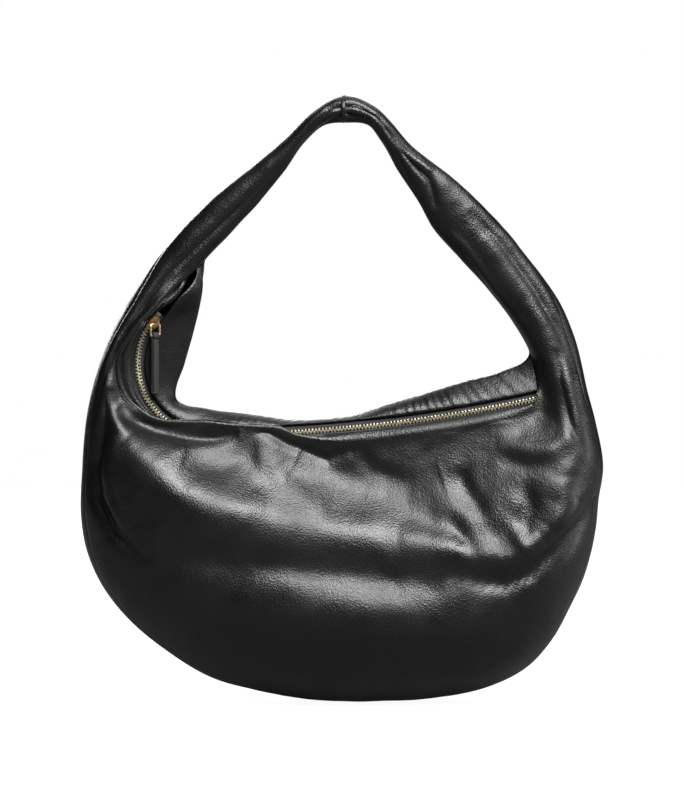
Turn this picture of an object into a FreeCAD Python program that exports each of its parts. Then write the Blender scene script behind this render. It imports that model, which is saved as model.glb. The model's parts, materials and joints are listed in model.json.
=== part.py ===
"""Hobo bag: a slouchy crescent of black leather whose ends run up into one carrying strap.

The bag hangs in the XZ plane and faces -Y.  +Z is up, the origin is the middle of the flat
resting face under the base, and every size is in millimetres.

The crescent is what three prisms share: its front outline, its side outline and its plan outline.
The same prisms, taken in a little more each time, give the leather, the lining and the pocket
their walls.  The zip runs along a J: a tight corner arc under the left end of the strap, then a
long shallow arc to the right.
"""

import FreeCAD, Part
import math
import os

from FreeCAD import Rotation, Vector

# Driving dimensions, in millimetres and degrees, as they go into the spreadsheet.
DIMENSIONS = {
    # outer outline of the crescent, seen from the front
    "half_width": 183.0,
    "widest_height": 150.0,
    "upper_rise": 231.0,
    "base_sink": 1.0,
    "ear_inner": 98.0,
    "mouth_left": 116.0,
    "mouth_right": 131.0,
    "back_rise": 9.0,
    "edge_clear": 2.0,
    "corner_rise": 9.0,
    # plies
    "leather": 1.6,
    "lining_cloth": 0.8,
    "ply_gap": 0.3,
    "gusset_half": 13.0,
    "gusset_hub_height": 200.0,
    "gusset_hub_radius": 166.0,
    # the plane where the front and back leather part, and the strip that faces the back lip
    "parting_plane": -3.5,
    "facing_ply": 1.4,
    "facing_clear": 4.4,
    "lip_clear": 5.0,
    # strap
    "fold_height": 300.0,
    "knuckle_radius": 12.0,
    "knuckle_gap": 0.5,
    "knuckle_width": 38.0,
    "knuckle_reach": 117.0,
    "core_inset": 4.5,
    "strap_depth": 15.0,
    "crown_band_width": 3.0,
    "crown_band_clear": 0.3,
    "crown_band_ply": 0.9,
    # path of the zip
    "corner_radius": 50.0,
    "corner_across": -93.0,
    "corner_drop": 62.0,
    "run_radius": 1050.0,
    "run_end": 138.0,
    "run_hidden": 10.0,
    "zip_plane": -11.0,
    "zip_tilt": 38.0,
    "zip_start": 134.0,
    # zip
    "tape_inner": 2.65,
    "tape_outer": 7.5,
    "tape_ply": 0.6,
    "tape_gap": 0.1,
    "turning_clear": 0.8,
    "turning_beyond": 1.1,
    "tooth_pitch": 2.4,
    "tooth_thick": 1.1,
    "tooth_reach": 2.6,
    "tooth_cross": 0.6,
    "tooth_height": 2.6,
    "tooth_step": 0.3,
    "tooth_bevel": 0.35,
    "tooth_neck": 0.9,
    "tooth_shoulder": 1.3,
    "teeth_short": 6.0,
    "run_short": 0.35,
    "stop_length": 2.2,
    "stop_height": 3.0,
    "stop_inset": 0.88,
    "stop_round": 0.3,
    "stop_part": 0.15,
    # slider
    "slider_long": 10.5,
    "slider_half": 4.2,
    "channel_half": 3.0,
    "channel_height": 3.3,
    "slider_plate": 1.0,
    "nose_length": 3.2,
    "nose_swell": 0.6,
    "nose_flat": 1.0,
    "park_clear": 0.4,
    "tape_slot": 1.3,
    "bridge_width": 2.0,
    "bridge_strip": 0.9,
    "bridge_rise": 3.1,
    "bridge_span": 7.6,
    # pull
    "ring_wire": 0.8,
    "ring_wide": 8.6,
    "ring_tall": 8.4,
    "ring_corner": 2.0,
    "ring_rest": 0.2,
    "pull_width": 5.0,
    "pull_long": 40.0,
    "pull_loop": 2.7,
    "pull_ply_half": 1.7,
    "pull_clear": 0.35,
    "pull_tip": 0.6,
    "pull_taper": 4.0,
    # pocket
    "pocket_half": 70.0,
    "pocket_low": 70.0,
    "pocket_high": 150.0,
    "binding_band": 8.0,
}

# Side outline: share of the ears' height, up from the resting face, and half depth.
SIDE = [
    (0.0, 34.0),
    (0.0174, 41.0),
    (0.0487, 48.0),
    (0.1043, 55.0),
    (0.1913, 59.0),
    (0.2957, 58.0),
    (0.3826, 52.0),
    (0.48, 39.0),
    (0.5635, 27.0),
    (0.6365, 20.5),
    (0.7304, 19.5),
    (0.8348, 19.0),
    (0.9217, 17.5),
    (1.0, 14.0),
]
# Plan outline: share of the half width from the middle, and half depth.
PLAN = [
    (0.0, 61.0),
    (0.25, 60.5),
    (0.45, 57.5),
    (0.62, 52.5),
    (0.76, 46.0),
    (0.87, 37.0),
    (0.95, 26.0),
    (1.0, 14.0),
]
FULLNESS = 0.8  # exponent that fills out the lower right of the outline, 1 for an ellipse
OUTLINE_STEP = 9.0  # degrees between the corners of the front outline

# Strap between its two roots: centre line from left to right over the crown, as a share of the
# roots' reach across and a height above the fold line, with the width seen from the front.
STRAP = [
    (-0.872, 23.0, 24.0),
    (-0.684, 45.0, 22.0),
    (-0.487, 68.0, 18.0),
    (-0.291, 93.0, 15.0),
    (-0.145, 109.0, 16.0),
    (0.017, 114.5, 17.0),
    (0.171, 108.0, 16.0),
    (0.316, 91.0, 14.0),
    (0.487, 67.0, 22.0),
    (0.658, 45.0, 30.0),
    (0.846, 22.0, 36.0),
]
CROWN = 6  # row of strap_rows() at the crown

FAR = 400.0  # longer than the bag in any direction, for cutting tools
SINK = 0.05  # how far pieces that become one solid run into each other
ARCH_SHOULDER = (0.55, 0.92)  # shoulders of the bridge's arch: shares of its half span and rise
Y_AXIS = Vector(0, 1, 0)

document = FreeCAD.newDocument("hobo_bag")
sheet = document.addObject("Spreadsheet::Sheet", "dims")


def fill_sheet():
    """Writes every driving dimension into its own cell, with its name as the alias."""
    for row, (name, value) in enumerate(DIMENSIONS.items(), start=1):
        sheet.set(f"A{row}", name)
        sheet.set(f"B{row}", str(value))
        sheet.setAlias(f"B{row}", name)
    document.recompute()


def dim(name):
    """The value of a driving dimension, read from the sheet."""
    return float(sheet.get(name))


# ---------------------------------------------------------------- document helpers


def feature(label, shape):
    """A plain feature with a shape made here."""
    made = document.addObject("Part::Feature", label)
    made.Label = label
    made.Shape = shape
    return made


def bound(kind, label, **expressions):
    """A Part primitive whose properties are bound to the sheet."""
    made = document.addObject(kind, label)
    made.Label = label
    for prop, expression in expressions.items():
        made.setExpression(prop.replace("__", "."), expression)
    return made


def cut(label, base, tool):
    """base less tool."""
    made = document.addObject("Part::Cut", label)
    made.Label = label
    made.Base = base
    made.Tool = tool
    return made


def common(label, *shapes):
    """What all the shapes share."""
    made = document.addObject("Part::MultiCommon", label)
    made.Label = label
    made.Shapes = list(shapes)
    return made


def fuse(label, *shapes):
    """All the shapes as one solid."""
    made = document.addObject("Part::MultiFuse", label)
    made.Label = label
    made.Shapes = list(shapes)
    return made


def group(label, shapes):
    """Separate solids that share one node."""
    return feature(label, Part.makeCompound(shapes))


def origin_plane(body, role):
    """One of a body's own origin planes."""
    return next(f for f in body.Origin.OriginFeatures if f.Role == role)


def new_body(label):
    """A PartDesign body."""
    body = document.addObject("PartDesign::Body", label)
    body.Label = label
    return body


def sketch_on(body, role, name):
    """An empty sketch on one of the body's origin planes."""
    sketch = body.newObject("Sketcher::SketchObject", name)
    sketch.AttachmentSupport = (origin_plane(body, role), [""])
    sketch.MapMode = "FlatFace"
    return sketch


# ---------------------------------------------------------------- crescent


def ear_top():
    """Height of the ears' flat tops, just under the strap's knuckles."""
    return dim("fold_height") - dim("knuckle_radius") - dim("knuckle_gap")


def outline_point(place):
    """A point of the front outline's outer edge: an ellipse, fuller at the lower right."""
    across, up = math.cos(math.radians(place)), math.sin(math.radians(place))
    rise = dim("upper_rise") if up > 0 else dim("widest_height") + dim("base_sink")
    power = FULLNESS if across > 0 > up else 1.0
    x = dim("half_width") * math.copysign(abs(across) ** power, across)
    z = dim("widest_height") + rise * math.copysign(abs(up) ** power, up)
    return Vector(x, 0, z)


def ear_place():
    """Where the outline meets the height of the ears' tops, as an angle above +X."""
    return math.degrees(math.asin((ear_top() - dim("widest_height")) / dim("upper_rise")))


def spline(points):
    """An open smooth curve through the points, as an edge."""
    curve = Part.BSplineCurve()
    curve.interpolate(points)
    return curve.toShape()


def chain(points):
    """Straight edges from point to point."""
    return [Part.makeLine(a, b) for a, b in zip(points, points[1:])]


def mouth_height(across):
    """Height of the back leather's top edge, which follows the long arc of the zip."""
    hub = run_hub()
    radius = dim("run_radius") - dim("back_rise")
    return hub.z - math.sqrt(radius ** 2 - (across - hub.x) ** 2)


def front_outline():
    """The crescent seen from the front, as a closed wire: outer edge, right ear, mouth, left ear."""
    start, end = 180.0 - ear_place(), 360.0 + ear_place()
    count = round((end - start) / OUTLINE_STEP)
    outer = [outline_point(start + (end - start) * k / count) for k in range(count + 1)]
    top = ear_top()
    left, right = -dim("ear_inner"), dim("ear_inner")
    corner_x, right_x = -dim("mouth_left"), dim("mouth_right")
    corner = Vector(corner_x, 0, mouth_height(corner_x) + dim("corner_rise"))
    far_corner = Vector(right_x, 0, mouth_height(right_x))
    middle_x = (corner_x + right_x) / 2
    middle = Vector(middle_x, 0, mouth_height(middle_x))
    left_top, right_top = Vector(left, 0, top), Vector(right, 0, top)
    edges = [
        *chain([*outer, right_top, far_corner]),
        Part.Arc(far_corner, middle, corner).toShape(),
        *chain([corner, left_top, outer[0]]),
    ]
    return Part.Wire(edges)


def taken_in(wire, inset):
    """A closed wire moved inwards by inset, as a face."""
    face = Part.Face(wire)
    return face.makeOffset2D(-inset) if inset > 0 else face


def crescent(inset):
    """The crescent, taken in by inset all round."""
    front = taken_in(front_outline(), inset)
    front.translate(Vector(0, -FAR, 0))
    front = front.extrude(Vector(0, 2 * FAR, 0))

    levels = [(share * ear_top(), depth - inset) for share, depth in SIDE]
    levels[0] = (inset, levels[0][1])
    levels[-1] = (ear_top() - inset, levels[-1][1])
    near = [Vector(-FAR, -depth, z) for z, depth in levels]
    far = [Vector(-FAR, depth, z) for z, depth in reversed(levels)]
    side = Part.Face(Part.makePolygon([*near, *far, near[0]])).extrude(Vector(2 * FAR, 0, 0))

    reach = dim("half_width") - inset
    shares = [(-share, depth) for share, depth in PLAN[:0:-1]] + PLAN
    near = [Vector(share * reach, inset - depth, -FAR) for share, depth in shares]
    far = [Vector(share * reach, depth - inset, -FAR) for share, depth in reversed(shares)]
    plan = Part.Face(Part.makePolygon([*near, *far, near[0]])).extrude(Vector(0, 0, 3 * FAR))
    return front.common(side).common(plan)


# ---------------------------------------------------------------- path of the zip


def corner_hub():
    """Centre of the zip's corner arc."""
    height = dim("fold_height") - dim("corner_drop")
    return Vector(dim("corner_across"), dim("zip_plane"), height)


def run_hub():
    """Centre of the zip's long shallow arc, which leaves the corner arc without a kink."""
    drop = dim("run_radius") - dim("corner_radius")
    return corner_hub() + Vector(0, 0, drop)


def run_sweep(across):
    """Angle of the shallow arc from its lowest point to a place across the bag, in degrees."""
    reach = across - dim("corner_across")
    return math.degrees(math.asin(reach / dim("run_radius")))


def zip_frame():
    """Across, outward and along at the J's lowest point: across goes from the front to the back."""
    tilt = math.radians(dim("zip_tilt"))
    across = Vector(0, math.cos(tilt), math.sin(tilt))
    up = Vector(0, -math.sin(tilt), math.cos(tilt))
    return across, up


def zip_point(across, up):
    """A point of the zip's cross-section at the J's lowest point."""
    side, rise = zip_frame()
    lowest = corner_hub() - Vector(0, 0, dim("corner_radius"))
    return lowest + side * across + rise * up


def on_corner(shape, back):
    """A shape from the J's lowest point, carried back round the corner arc by an angle."""
    moved = shape.copy()
    moved.rotate(corner_hub(), Y_AXIS, back)
    return moved


def on_run(shape, along):
    """A shape from the J's lowest point, carried along the shallow arc by an angle."""
    moved = shape.copy()
    moved.rotate(run_hub(), Y_AXIS, -along)
    return moved


def corner_sweep():
    """Angle of the corner arc from the zip's closed end to its lowest point."""
    return 270.0 - dim("zip_start")


def zip_strip(outline, corner_turn, run_turn):
    """A strip with a constant cross-section along both arcs of the J."""
    face = Part.Face(Part.makePolygon([*outline, outline[0]]))
    corner = face.revolve(corner_hub(), Y_AXIS, corner_turn)
    run = face.revolve(run_hub(), Y_AXIS, -run_turn)
    return corner.fuse(run).removeSplitter()


def band(inner, outer, low, high):
    """Four corners of a rectangle in the zip's cross-section."""
    return [
        zip_point(inner, low),
        zip_point(outer, low),
        zip_point(outer, high),
        zip_point(inner, high),
    ]


def mouth_prism(offset, near, far):
    """The area inside the J, grown outwards by offset, as a block from y = near to y = far."""
    hub, run = corner_hub(), run_hub()
    small = dim("corner_radius") + offset
    large = dim("run_radius") + offset
    right = dim("run_end")

    def round_point(centre, radius, angle):
        turn = math.radians(angle)
        return Vector(centre.x + radius * math.cos(turn), near, centre.z + radius * math.sin(turn))

    start, lowest = dim("zip_start"), 270.0
    sweep = math.degrees(math.asin((right - run.x) / large))
    corner = Part.Arc(
        round_point(hub, small, start),
        round_point(hub, small, (start + lowest) / 2),
        round_point(hub, small, lowest),
    )
    shallow = Part.Arc(
        round_point(run, large, lowest),
        round_point(run, large, lowest + sweep / 2),
        round_point(run, large, lowest + sweep),
    )
    head = dim("fold_height")
    edge_x = dim("mouth_right") - dim("edge_clear")
    top_x = dim("ear_inner") - dim("edge_clear")
    corners = [
        round_point(run, large, lowest + sweep),
        Vector(edge_x, near, mouth_height(edge_x)),
        Vector(top_x, near, ear_top()),
        Vector(top_x, near, head),
        Vector(-top_x, near, head),
        round_point(hub, small, start),
    ]
    sides = [Part.makeLine(a, b) for a, b in zip(corners, corners[1:])]
    outline = Part.Wire([corner.toShape(), shallow.toShape(), *sides])
    return Part.Face(outline).extrude(Vector(0, far - near, 0))


# ---------------------------------------------------------------- leather, lining and pocket


def build_shell():
    """The leather panels and gusset, the facing of the back lip, and the cloth inside."""
    insets = [0.0]
    for ply in ("leather", "ply_gap", "lining_cloth", "ply_gap", "lining_cloth"):
        insets.append(insets[-1] + dim(ply))
    walls = [feature(f"tube_{number}", crescent(inset)) for number, inset in enumerate(insets)]

    parting = dim("parting_plane")
    mouth = feature("mouth_tool", mouth_prism(dim("lip_clear"), -FAR, parting))
    front_half = bound(
        "Part::Box", "front_half", Length=f"{2 * FAR}", Width=f"{FAR}", Height=f"{2 * FAR}",
        Placement__Base__x=f"-{FAR}", Placement__Base__y=f"dims.parting_plane - {FAR}",
        Placement__Base__z=f"-{FAR / 2}",
    )
    back_half = bound(
        "Part::Box", "back_half", Length=f"{2 * FAR}", Width=f"{FAR}", Height=f"{2 * FAR}",
        Placement__Base__x=f"-{FAR}", Placement__Base__y="dims.parting_plane",
        Placement__Base__z=f"-{FAR / 2}",
    )
    slab = bound(
        "Part::Box", "gusset_slab", Length=f"{2 * FAR}", Width="2 * dims.gusset_half",
        Height=f"{2 * FAR}", Placement__Base__x=f"-{FAR}",
        Placement__Base__y="-dims.gusset_half", Placement__Base__z=f"-{FAR / 2}",
    )
    core = bound(
        "Part::Cylinder", "gusset_core", Radius="dims.gusset_hub_radius", Height=f"{FAR}",
        Placement__Base__y=f"{FAR / 2}", Placement__Base__z="dims.gusset_hub_height",
    )
    core.Placement.Rotation = Rotation(Vector(1, 0, 0), 90)
    rim = cut("gusset_rim", slab, core)

    shell = cut("leather_shell", walls[0], walls[1])
    gusset = common("gusset", shell, rim)
    sides = cut("leather_sides", shell, gusset)
    front = common("front_whole", sides, front_half)
    parts = [
        cut("front_panel", front, mouth),
        common("back_panel", sides, back_half),
        gusset,
    ]

    facing_face = mouth_prism(-dim("facing_clear"), parting - dim("facing_ply"), parting)
    facing_area = feature("facing_area", facing_face)
    parts.append(common("back_lip_facing", facing_area, walls[0]))

    cloth = cut("cloth_shell", walls[2], walls[3])
    cloth_front = common("cloth_front", cloth, front_half)
    parts.append(cut("lining_front", cloth_front, mouth))
    parts.append(common("lining_back", cloth, back_half))

    patch = cut("patch_shell", walls[4], walls[5])
    pocket_box = bound(
        "Part::Box", "pocket_box", Length="2 * dims.pocket_half", Width=f"{FAR}",
        Height="dims.pocket_high - dims.binding_band - dims.pocket_low",
        Placement__Base__x="-dims.pocket_half", Placement__Base__z="dims.pocket_low",
    )
    binding_box = bound(
        "Part::Box", "binding_box", Length="2 * dims.pocket_half", Width=f"{FAR}",
        Height="dims.binding_band", Placement__Base__x="-dims.pocket_half",
        Placement__Base__z="dims.pocket_high - dims.binding_band",
    )
    parts.append(common("slip_pocket", patch, pocket_box))
    parts.append(common("pocket_binding", patch, binding_box))
    return parts


# ---------------------------------------------------------------- strap


def strap_rows():
    """The strap's centre line from root to root, as across, height and width."""
    reach, foot, root = dim("knuckle_reach"), dim("fold_height"), dim("knuckle_width")
    rows = [(share * reach, foot + rise, wide) for share, rise, wide in STRAP]
    return [(-reach, foot, root), *rows, (reach, foot, root)]


def ribbon(inset, half_depth):
    """The strap's outline, taken in by inset and as deep as twice half_depth."""
    rows = strap_rows()
    points = [Vector(x, -half_depth, z) for x, z, _ in rows]
    outer, inner = [], []
    for number, (_, _, wide) in enumerate(rows):
        before = points[max(number - 1, 0)]
        after = points[min(number + 1, len(points) - 1)]
        along = after.sub(before).normalize()
        if number == 0:
            along = Vector(0, 0, 1)
        if number == len(points) - 1:
            along = Vector(0, 0, -1)
        outward = Vector(-along.z, 0, along.x)
        outer.append(points[number] + outward * (wide / 2 - inset))
        inner.append(points[number] - outward * (wide / 2 - inset))
    edges = [
        spline(outer),
        Part.makeLine(outer[-1], inner[-1]),
        spline(inner[::-1]),
        Part.makeLine(inner[0], outer[0]),
    ]
    return Part.Face(Part.Wire(edges)).extrude(Vector(0, 2 * half_depth, 0))


def box_around(label, clear, wide):
    """A box round the strap at the crown, clear of it by an expression."""
    x, z, across = strap_rows()[CROWN]
    return bound(
        "Part::Box", label, Length=wide, Width=f"dims.strap_depth + 2 * ({clear})",
        Height=f"{across} + 2 * ({clear})", Placement__Base__x=f"{x} - ({wide}) / 2",
        Placement__Base__y=f"-dims.strap_depth / 2 - ({clear})",
        Placement__Base__z=f"{z - across / 2} - ({clear})",
    )


def build_strap():
    """Front and back leather of the strap, the core that carries the load, and the crown band."""
    half = dim("strap_depth") / 2
    strap = feature("strap_ribbon", ribbon(0.0, half))
    core = feature("strap_core", ribbon(dim("core_inset"), half - dim("core_inset")))
    knuckles = []
    for side in (-1, 1):
        knuckle = bound(
            "Part::Cylinder", f"knuckle_{'left' if side < 0 else 'right'}",
            Radius="dims.knuckle_radius", Height="dims.knuckle_width",
            Placement__Base__x=f"{side} * dims.knuckle_reach - dims.knuckle_width / 2",
            Placement__Base__z="dims.fold_height",
        )
        knuckle.Placement.Rotation = Rotation(Vector(0, 1, 0), 90)
        knuckles.append(knuckle)
    whole = fuse("strap_whole", strap, *knuckles)
    hollow = cut("strap_hollow", whole, core)
    front_half = bound(
        "Part::Box", "strap_front_half", Length=f"{2 * FAR}", Width=f"{FAR}", Height=f"{2 * FAR}",
        Placement__Base__x=f"-{FAR}", Placement__Base__y=f"-{FAR}",
    )
    back_half = bound(
        "Part::Box", "strap_back_half", Length=f"{2 * FAR}", Width=f"{FAR}", Height=f"{2 * FAR}",
        Placement__Base__x=f"-{FAR}",
    )
    band_inner = box_around("band_inner", "dims.crown_band_clear", "2 * dims.crown_band_width")
    band_outer = box_around(
        "band_outer", "dims.crown_band_clear + dims.crown_band_ply", "dims.crown_band_width"
    )
    return [
        common("strap_front", hollow, front_half),
        common("strap_back", hollow, back_half),
        core,
        cut("crown_band", band_outer, band_inner),
    ]


# ---------------------------------------------------------------- zip


def tooth(side):
    """One tooth at the J's lowest point: side -1 on the front tape, 1 on the back tape."""
    reach, over = dim("tooth_reach"), dim("tooth_cross")
    high, bevel = dim("tooth_height") / 2, dim("tooth_bevel")
    head = high - dim("tooth_step")
    neck, shoulder = dim("tooth_neck"), dim("tooth_shoulder")
    profile = [
        (-over, -head + bevel), (-over, head - bevel), (-over + bevel, head),
        (neck, head), (shoulder, high), (reach - bevel, high), (reach, high - bevel),
        (reach, -high + bevel), (reach - bevel, -high), (shoulder, -high), (neck, -head),
        (-over + bevel, -head),
    ]
    points = [zip_point(side * a, u) for a, u in profile]
    face = Part.Face(Part.makePolygon([*points, points[0]]))
    thick = dim("tooth_thick")
    block = face.extrude(Vector(thick, 0, 0))
    block.translate(Vector(-thick / 2, 0, 0))
    return block


def teeth(side):
    """A row of teeth along both arcs, the two rows half a pitch apart."""
    one = tooth(side)
    pitch = dim("tooth_pitch")
    corner_step = math.degrees(pitch / dim("corner_radius"))
    run_step = math.degrees(pitch / dim("run_radius"))
    shift = 0.25 if side < 0 else 0.75  # share of a pitch past the J's lowest point
    row = []
    count = int((corner_sweep() - dim("teeth_short")) / corner_step)
    for k in range(count):
        row.append(on_corner(one, (k + shift) * corner_step))
    last = run_sweep(dim("run_end") + dim("run_hidden")) - dim("run_short")
    for k in range(int(last / run_step)):
        row.append(on_run(one, (k + 1 - shift) * run_step))
    return row


def stop(angle, run, low, high, side_from, side_to):
    """A small block clamped on the zip."""
    corners = band(side_from, side_to, low, high)
    face = Part.Face(Part.makePolygon([*corners, corners[0]]))
    length = dim("stop_length")
    block = face.extrude(Vector(length, 0, 0))
    block.translate(Vector(-length / 2, 0, 0))
    block = block.makeFillet(dim("stop_round"), block.Edges)
    return on_run(block, angle) if run else on_corner(block, angle)


def build_zip():
    """Tapes, teeth, stops, end tabs and the turned-in strip under the front tape."""
    inner, outer = dim("tape_inner"), dim("tape_outer")
    half = dim("tape_ply") / 2
    corner_turn = corner_sweep()
    run_turn = run_sweep(dim("run_end") + dim("run_hidden"))
    high = dim("stop_height") / 2
    over, part = dim("tooth_reach"), dim("stop_part")
    top_turn = corner_turn - math.degrees(dim("stop_inset") / dim("corner_radius"))
    top = [
        stop(top_turn, False, -high, high, -over, -part),
        stop(top_turn, False, -high, high, part, over),
    ]
    bottom_turn = run_turn - math.degrees(dim("stop_inset") / dim("run_radius"))
    parts = [
        feature("zip_tape_front", zip_strip(band(-outer, -inner, -half, half), corner_turn, run_turn)),
        feature("zip_tape_back", zip_strip(band(inner, outer, -half, half), corner_turn, run_turn)),
        group("zip_teeth_front", teeth(-1)),
        group("zip_teeth_back", teeth(1)),
        group("zip_top_stops", top),
        group("zip_bottom_stop", [stop(bottom_turn, True, -high, high, -over, over)]),
    ]
    low = -half - dim("tape_gap")
    near, far = -dim("slider_half") - dim("turning_clear"), -outer - dim("turning_beyond")
    turned = band(far, near, low - dim("facing_ply"), low)
    parts.append(feature("front_lip_turning", zip_strip(turned, corner_turn, run_turn)))
    return parts


# ---------------------------------------------------------------- slider and pull


def at_slider(shape):
    """A shape made at the J's lowest point, carried to the slider's place at the closed end."""
    back = dim("slider_long") / 2 + dim("stop_length") + dim("park_clear")
    return on_corner(shape, corner_sweep() - math.degrees(back / dim("corner_radius")))


def ring_section(inner, outer, low, high, length):
    """A block of the slider, curved to follow the corner arc, centred on the J's lowest point."""
    corners = band(inner, outer, low, high)
    face = Part.Face(Part.makePolygon([*corners, corners[0]]))
    turn = math.degrees(length / dim("corner_radius"))
    block = face.revolve(corner_hub(), Y_AXIS, turn)
    block.rotate(corner_hub(), Y_AXIS, -turn / 2)
    return block


def slider_outline():
    """The slider's outline seen on its face, as a tall block: a round nose and straight sides."""
    half, long = dim("slider_half"), dim("slider_long")
    across, up = zip_frame()
    radius = half + dim("nose_swell")
    centre = zip_point(0, -FAR) + Vector(-long / 2 + radius - dim("nose_flat"), 0, 0)
    nose = Part.makeCylinder(radius, 2 * FAR, centre, up)
    sides = Part.makeBox(long, 4 * half, 2 * FAR)
    corner = zip_point(-2 * half, -FAR) + Vector(-long / 2 + dim("nose_length"), 0, 0)
    sides.Placement = FreeCAD.Placement(corner, Rotation(Vector(1, 0, 0), dim("zip_tilt")))
    return nose.fuse(sides)


def bridge():
    """The arch on the slider's top plate, whose gap holds the pull's ring."""
    strip, rise, span = dim("bridge_strip"), dim("bridge_rise"), dim("bridge_span")
    foot = zip_point(0, dim("channel_height") / 2 + dim("slider_plate") - SINK)
    across, up = zip_frame()
    along = Vector(1, 0, 0)
    out, height = ARCH_SHOULDER

    def arch(half_span, top):
        return spline([
            foot - along * half_span,
            foot - along * half_span * out + up * top * height,
            foot + up * top,
            foot + along * half_span * out + up * top * height,
            foot + along * half_span,
        ])

    outer = arch(span / 2, rise + strip)
    inner = arch(span / 2 - strip, rise)
    ends = [
        Part.makeLine(outer.valueAt(outer.FirstParameter), inner.valueAt(inner.FirstParameter)),
        Part.makeLine(outer.valueAt(outer.LastParameter), inner.valueAt(inner.LastParameter)),
    ]
    face = Part.Face(Part.Wire(Part.sortEdges([outer, inner, *ends])[0]))
    face.translate(across * (-dim("bridge_width") / 2))
    return face.extrude(across * dim("bridge_width"))


def build_slider():
    """Two plates that wrap the chain, each with its flanges, and the bridge for the pull."""
    half, channel = dim("slider_half"), dim("channel_half")
    gap, plate, slot = dim("channel_height") / 2, dim("slider_plate"), dim("tape_slot") / 2
    long = dim("slider_long")
    top = ring_section(-half, half, gap, gap + plate, long)
    base = ring_section(-half, half, -gap - plate, -gap, long)
    for low, high in ((-half, -channel), (channel, half)):
        top = top.fuse(ring_section(low, high, slot, gap + SINK, long))
        base = base.fuse(ring_section(low, high, -gap - SINK, -slot, long))
    trim = slider_outline()
    top = top.common(trim).fuse(bridge()).removeSplitter()
    base = base.common(trim).removeSplitter()
    return [
        feature("slider_top", at_slider(top)),
        feature("slider_base", at_slider(base)),
    ]


def ring_pivot():
    """Centre of the ring's upper bar, where it hangs in the slider's bridge."""
    level = dim("channel_height") / 2 + dim("slider_plate") + dim("bridge_rise") / 2
    level += dim("ring_rest")
    mark = at_slider(Part.Vertex(zip_point(0, level)))
    return mark.Vertexes[0].Point


def hanging():
    """The turn that takes +Y to the level line across the slider's face, with +Z left upright."""
    plate = at_slider(Part.makeLine(zip_point(0, 0), zip_point(0, 1)))
    ends = [vertex.Point for vertex in plate.Vertexes]
    normal = ends[1].sub(ends[0])
    level = Vector(-normal.y, normal.x, 0)
    return Rotation(Vector(0, 0, 1), math.degrees(math.atan2(level.y, level.x)) - 90.0)


def build_ring():
    """A rounded square of wire that hangs from the bridge, made in the YZ plane."""
    body = new_body("pull_ring")
    spine = sketch_on(body, "YZ_Plane", "ring_spine")
    half_wide, half_tall = dim("ring_wide") / 2, dim("ring_tall") / 2
    corner = dim("ring_corner")
    flat_y, flat_z = half_wide - corner, half_tall - corner
    sides = [
        ((-flat_y, half_tall), (flat_y, half_tall)),
        ((half_wide, flat_z), (half_wide, -flat_z)),
        ((flat_y, -half_tall), (-flat_y, -half_tall)),
        ((-half_wide, -flat_z), (-half_wide, flat_z)),
    ]
    for a, b in sides:
        spine.addGeometry(Part.LineSegment(Vector(*a, 0), Vector(*b, 0)))
    for y, z, start in ((flat_y, flat_z, 0), (-flat_y, flat_z, 90),
                        (-flat_y, -flat_z, 180), (flat_y, -flat_z, 270)):
        circle = Part.Circle(Vector(y, z, 0), Vector(0, 0, 1), corner)
        arc = Part.ArcOfCircle(circle, math.radians(start), math.radians(start + 90))
        spine.addGeometry(arc)
    profile = sketch_on(body, "XZ_Plane", "ring_profile")
    profile.addGeometry(
        Part.Circle(Vector(0, half_tall, 0), Vector(0, 0, 1), dim("ring_wire"))
    )
    document.recompute()
    pipe = body.newObject("PartDesign::AdditivePipe", "ring_pipe")
    pipe.Profile = profile
    pipe.Spine = (spine, [f"Edge{n}" for n in range(1, 9)])
    document.recompute()
    place = ring_pivot() - Vector(0, 0, half_tall)
    body.Placement = FreeCAD.Placement(place, hanging())
    return body


def build_pull():
    """A leather strip folded round the ring's lower bar, its plies stitched face to face."""
    body = new_body("leather_pull")
    sketch = sketch_on(body, "XZ_Plane", "pull_outline")
    loop, half, long = dim("pull_loop"), dim("pull_ply_half"), dim("pull_long")
    lean = math.asin(half / loop)
    foot = loop * math.cos(lean)
    start, end = -math.pi / 2 + lean, 1.5 * math.pi - lean
    outline = Part.ArcOfCircle(Part.Circle(Vector(0, 0, 0), Vector(0, 0, 1), loop), start, end)
    sketch.addGeometry(outline)
    tip, taper = dim("pull_tip"), dim("pull_taper")
    corners = [
        (half, -foot), (half, taper - long), (half - tip, -long), (-half + tip, -long),
        (-half, taper - long), (-half, -foot),
    ]
    for a, b in zip(corners, corners[1:]):
        sketch.addGeometry(Part.LineSegment(Vector(*a, 0), Vector(*b, 0)))
    hole = Part.Circle(Vector(0, 0, 0), Vector(0, 0, 1), dim("ring_wire") + dim("pull_clear"))
    sketch.addGeometry(hole)
    document.recompute()
    pad = body.newObject("PartDesign::Pad", "pull_pad")
    pad.Profile = sketch
    pad.Midplane = True
    pad.setExpression("Length", "dims.pull_width")
    document.recompute()
    place = ring_pivot() - Vector(0, 0, dim("ring_tall"))
    body.Placement = FreeCAD.Placement(place, hanging())
    return body


# ---------------------------------------------------------------- build and export


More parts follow.
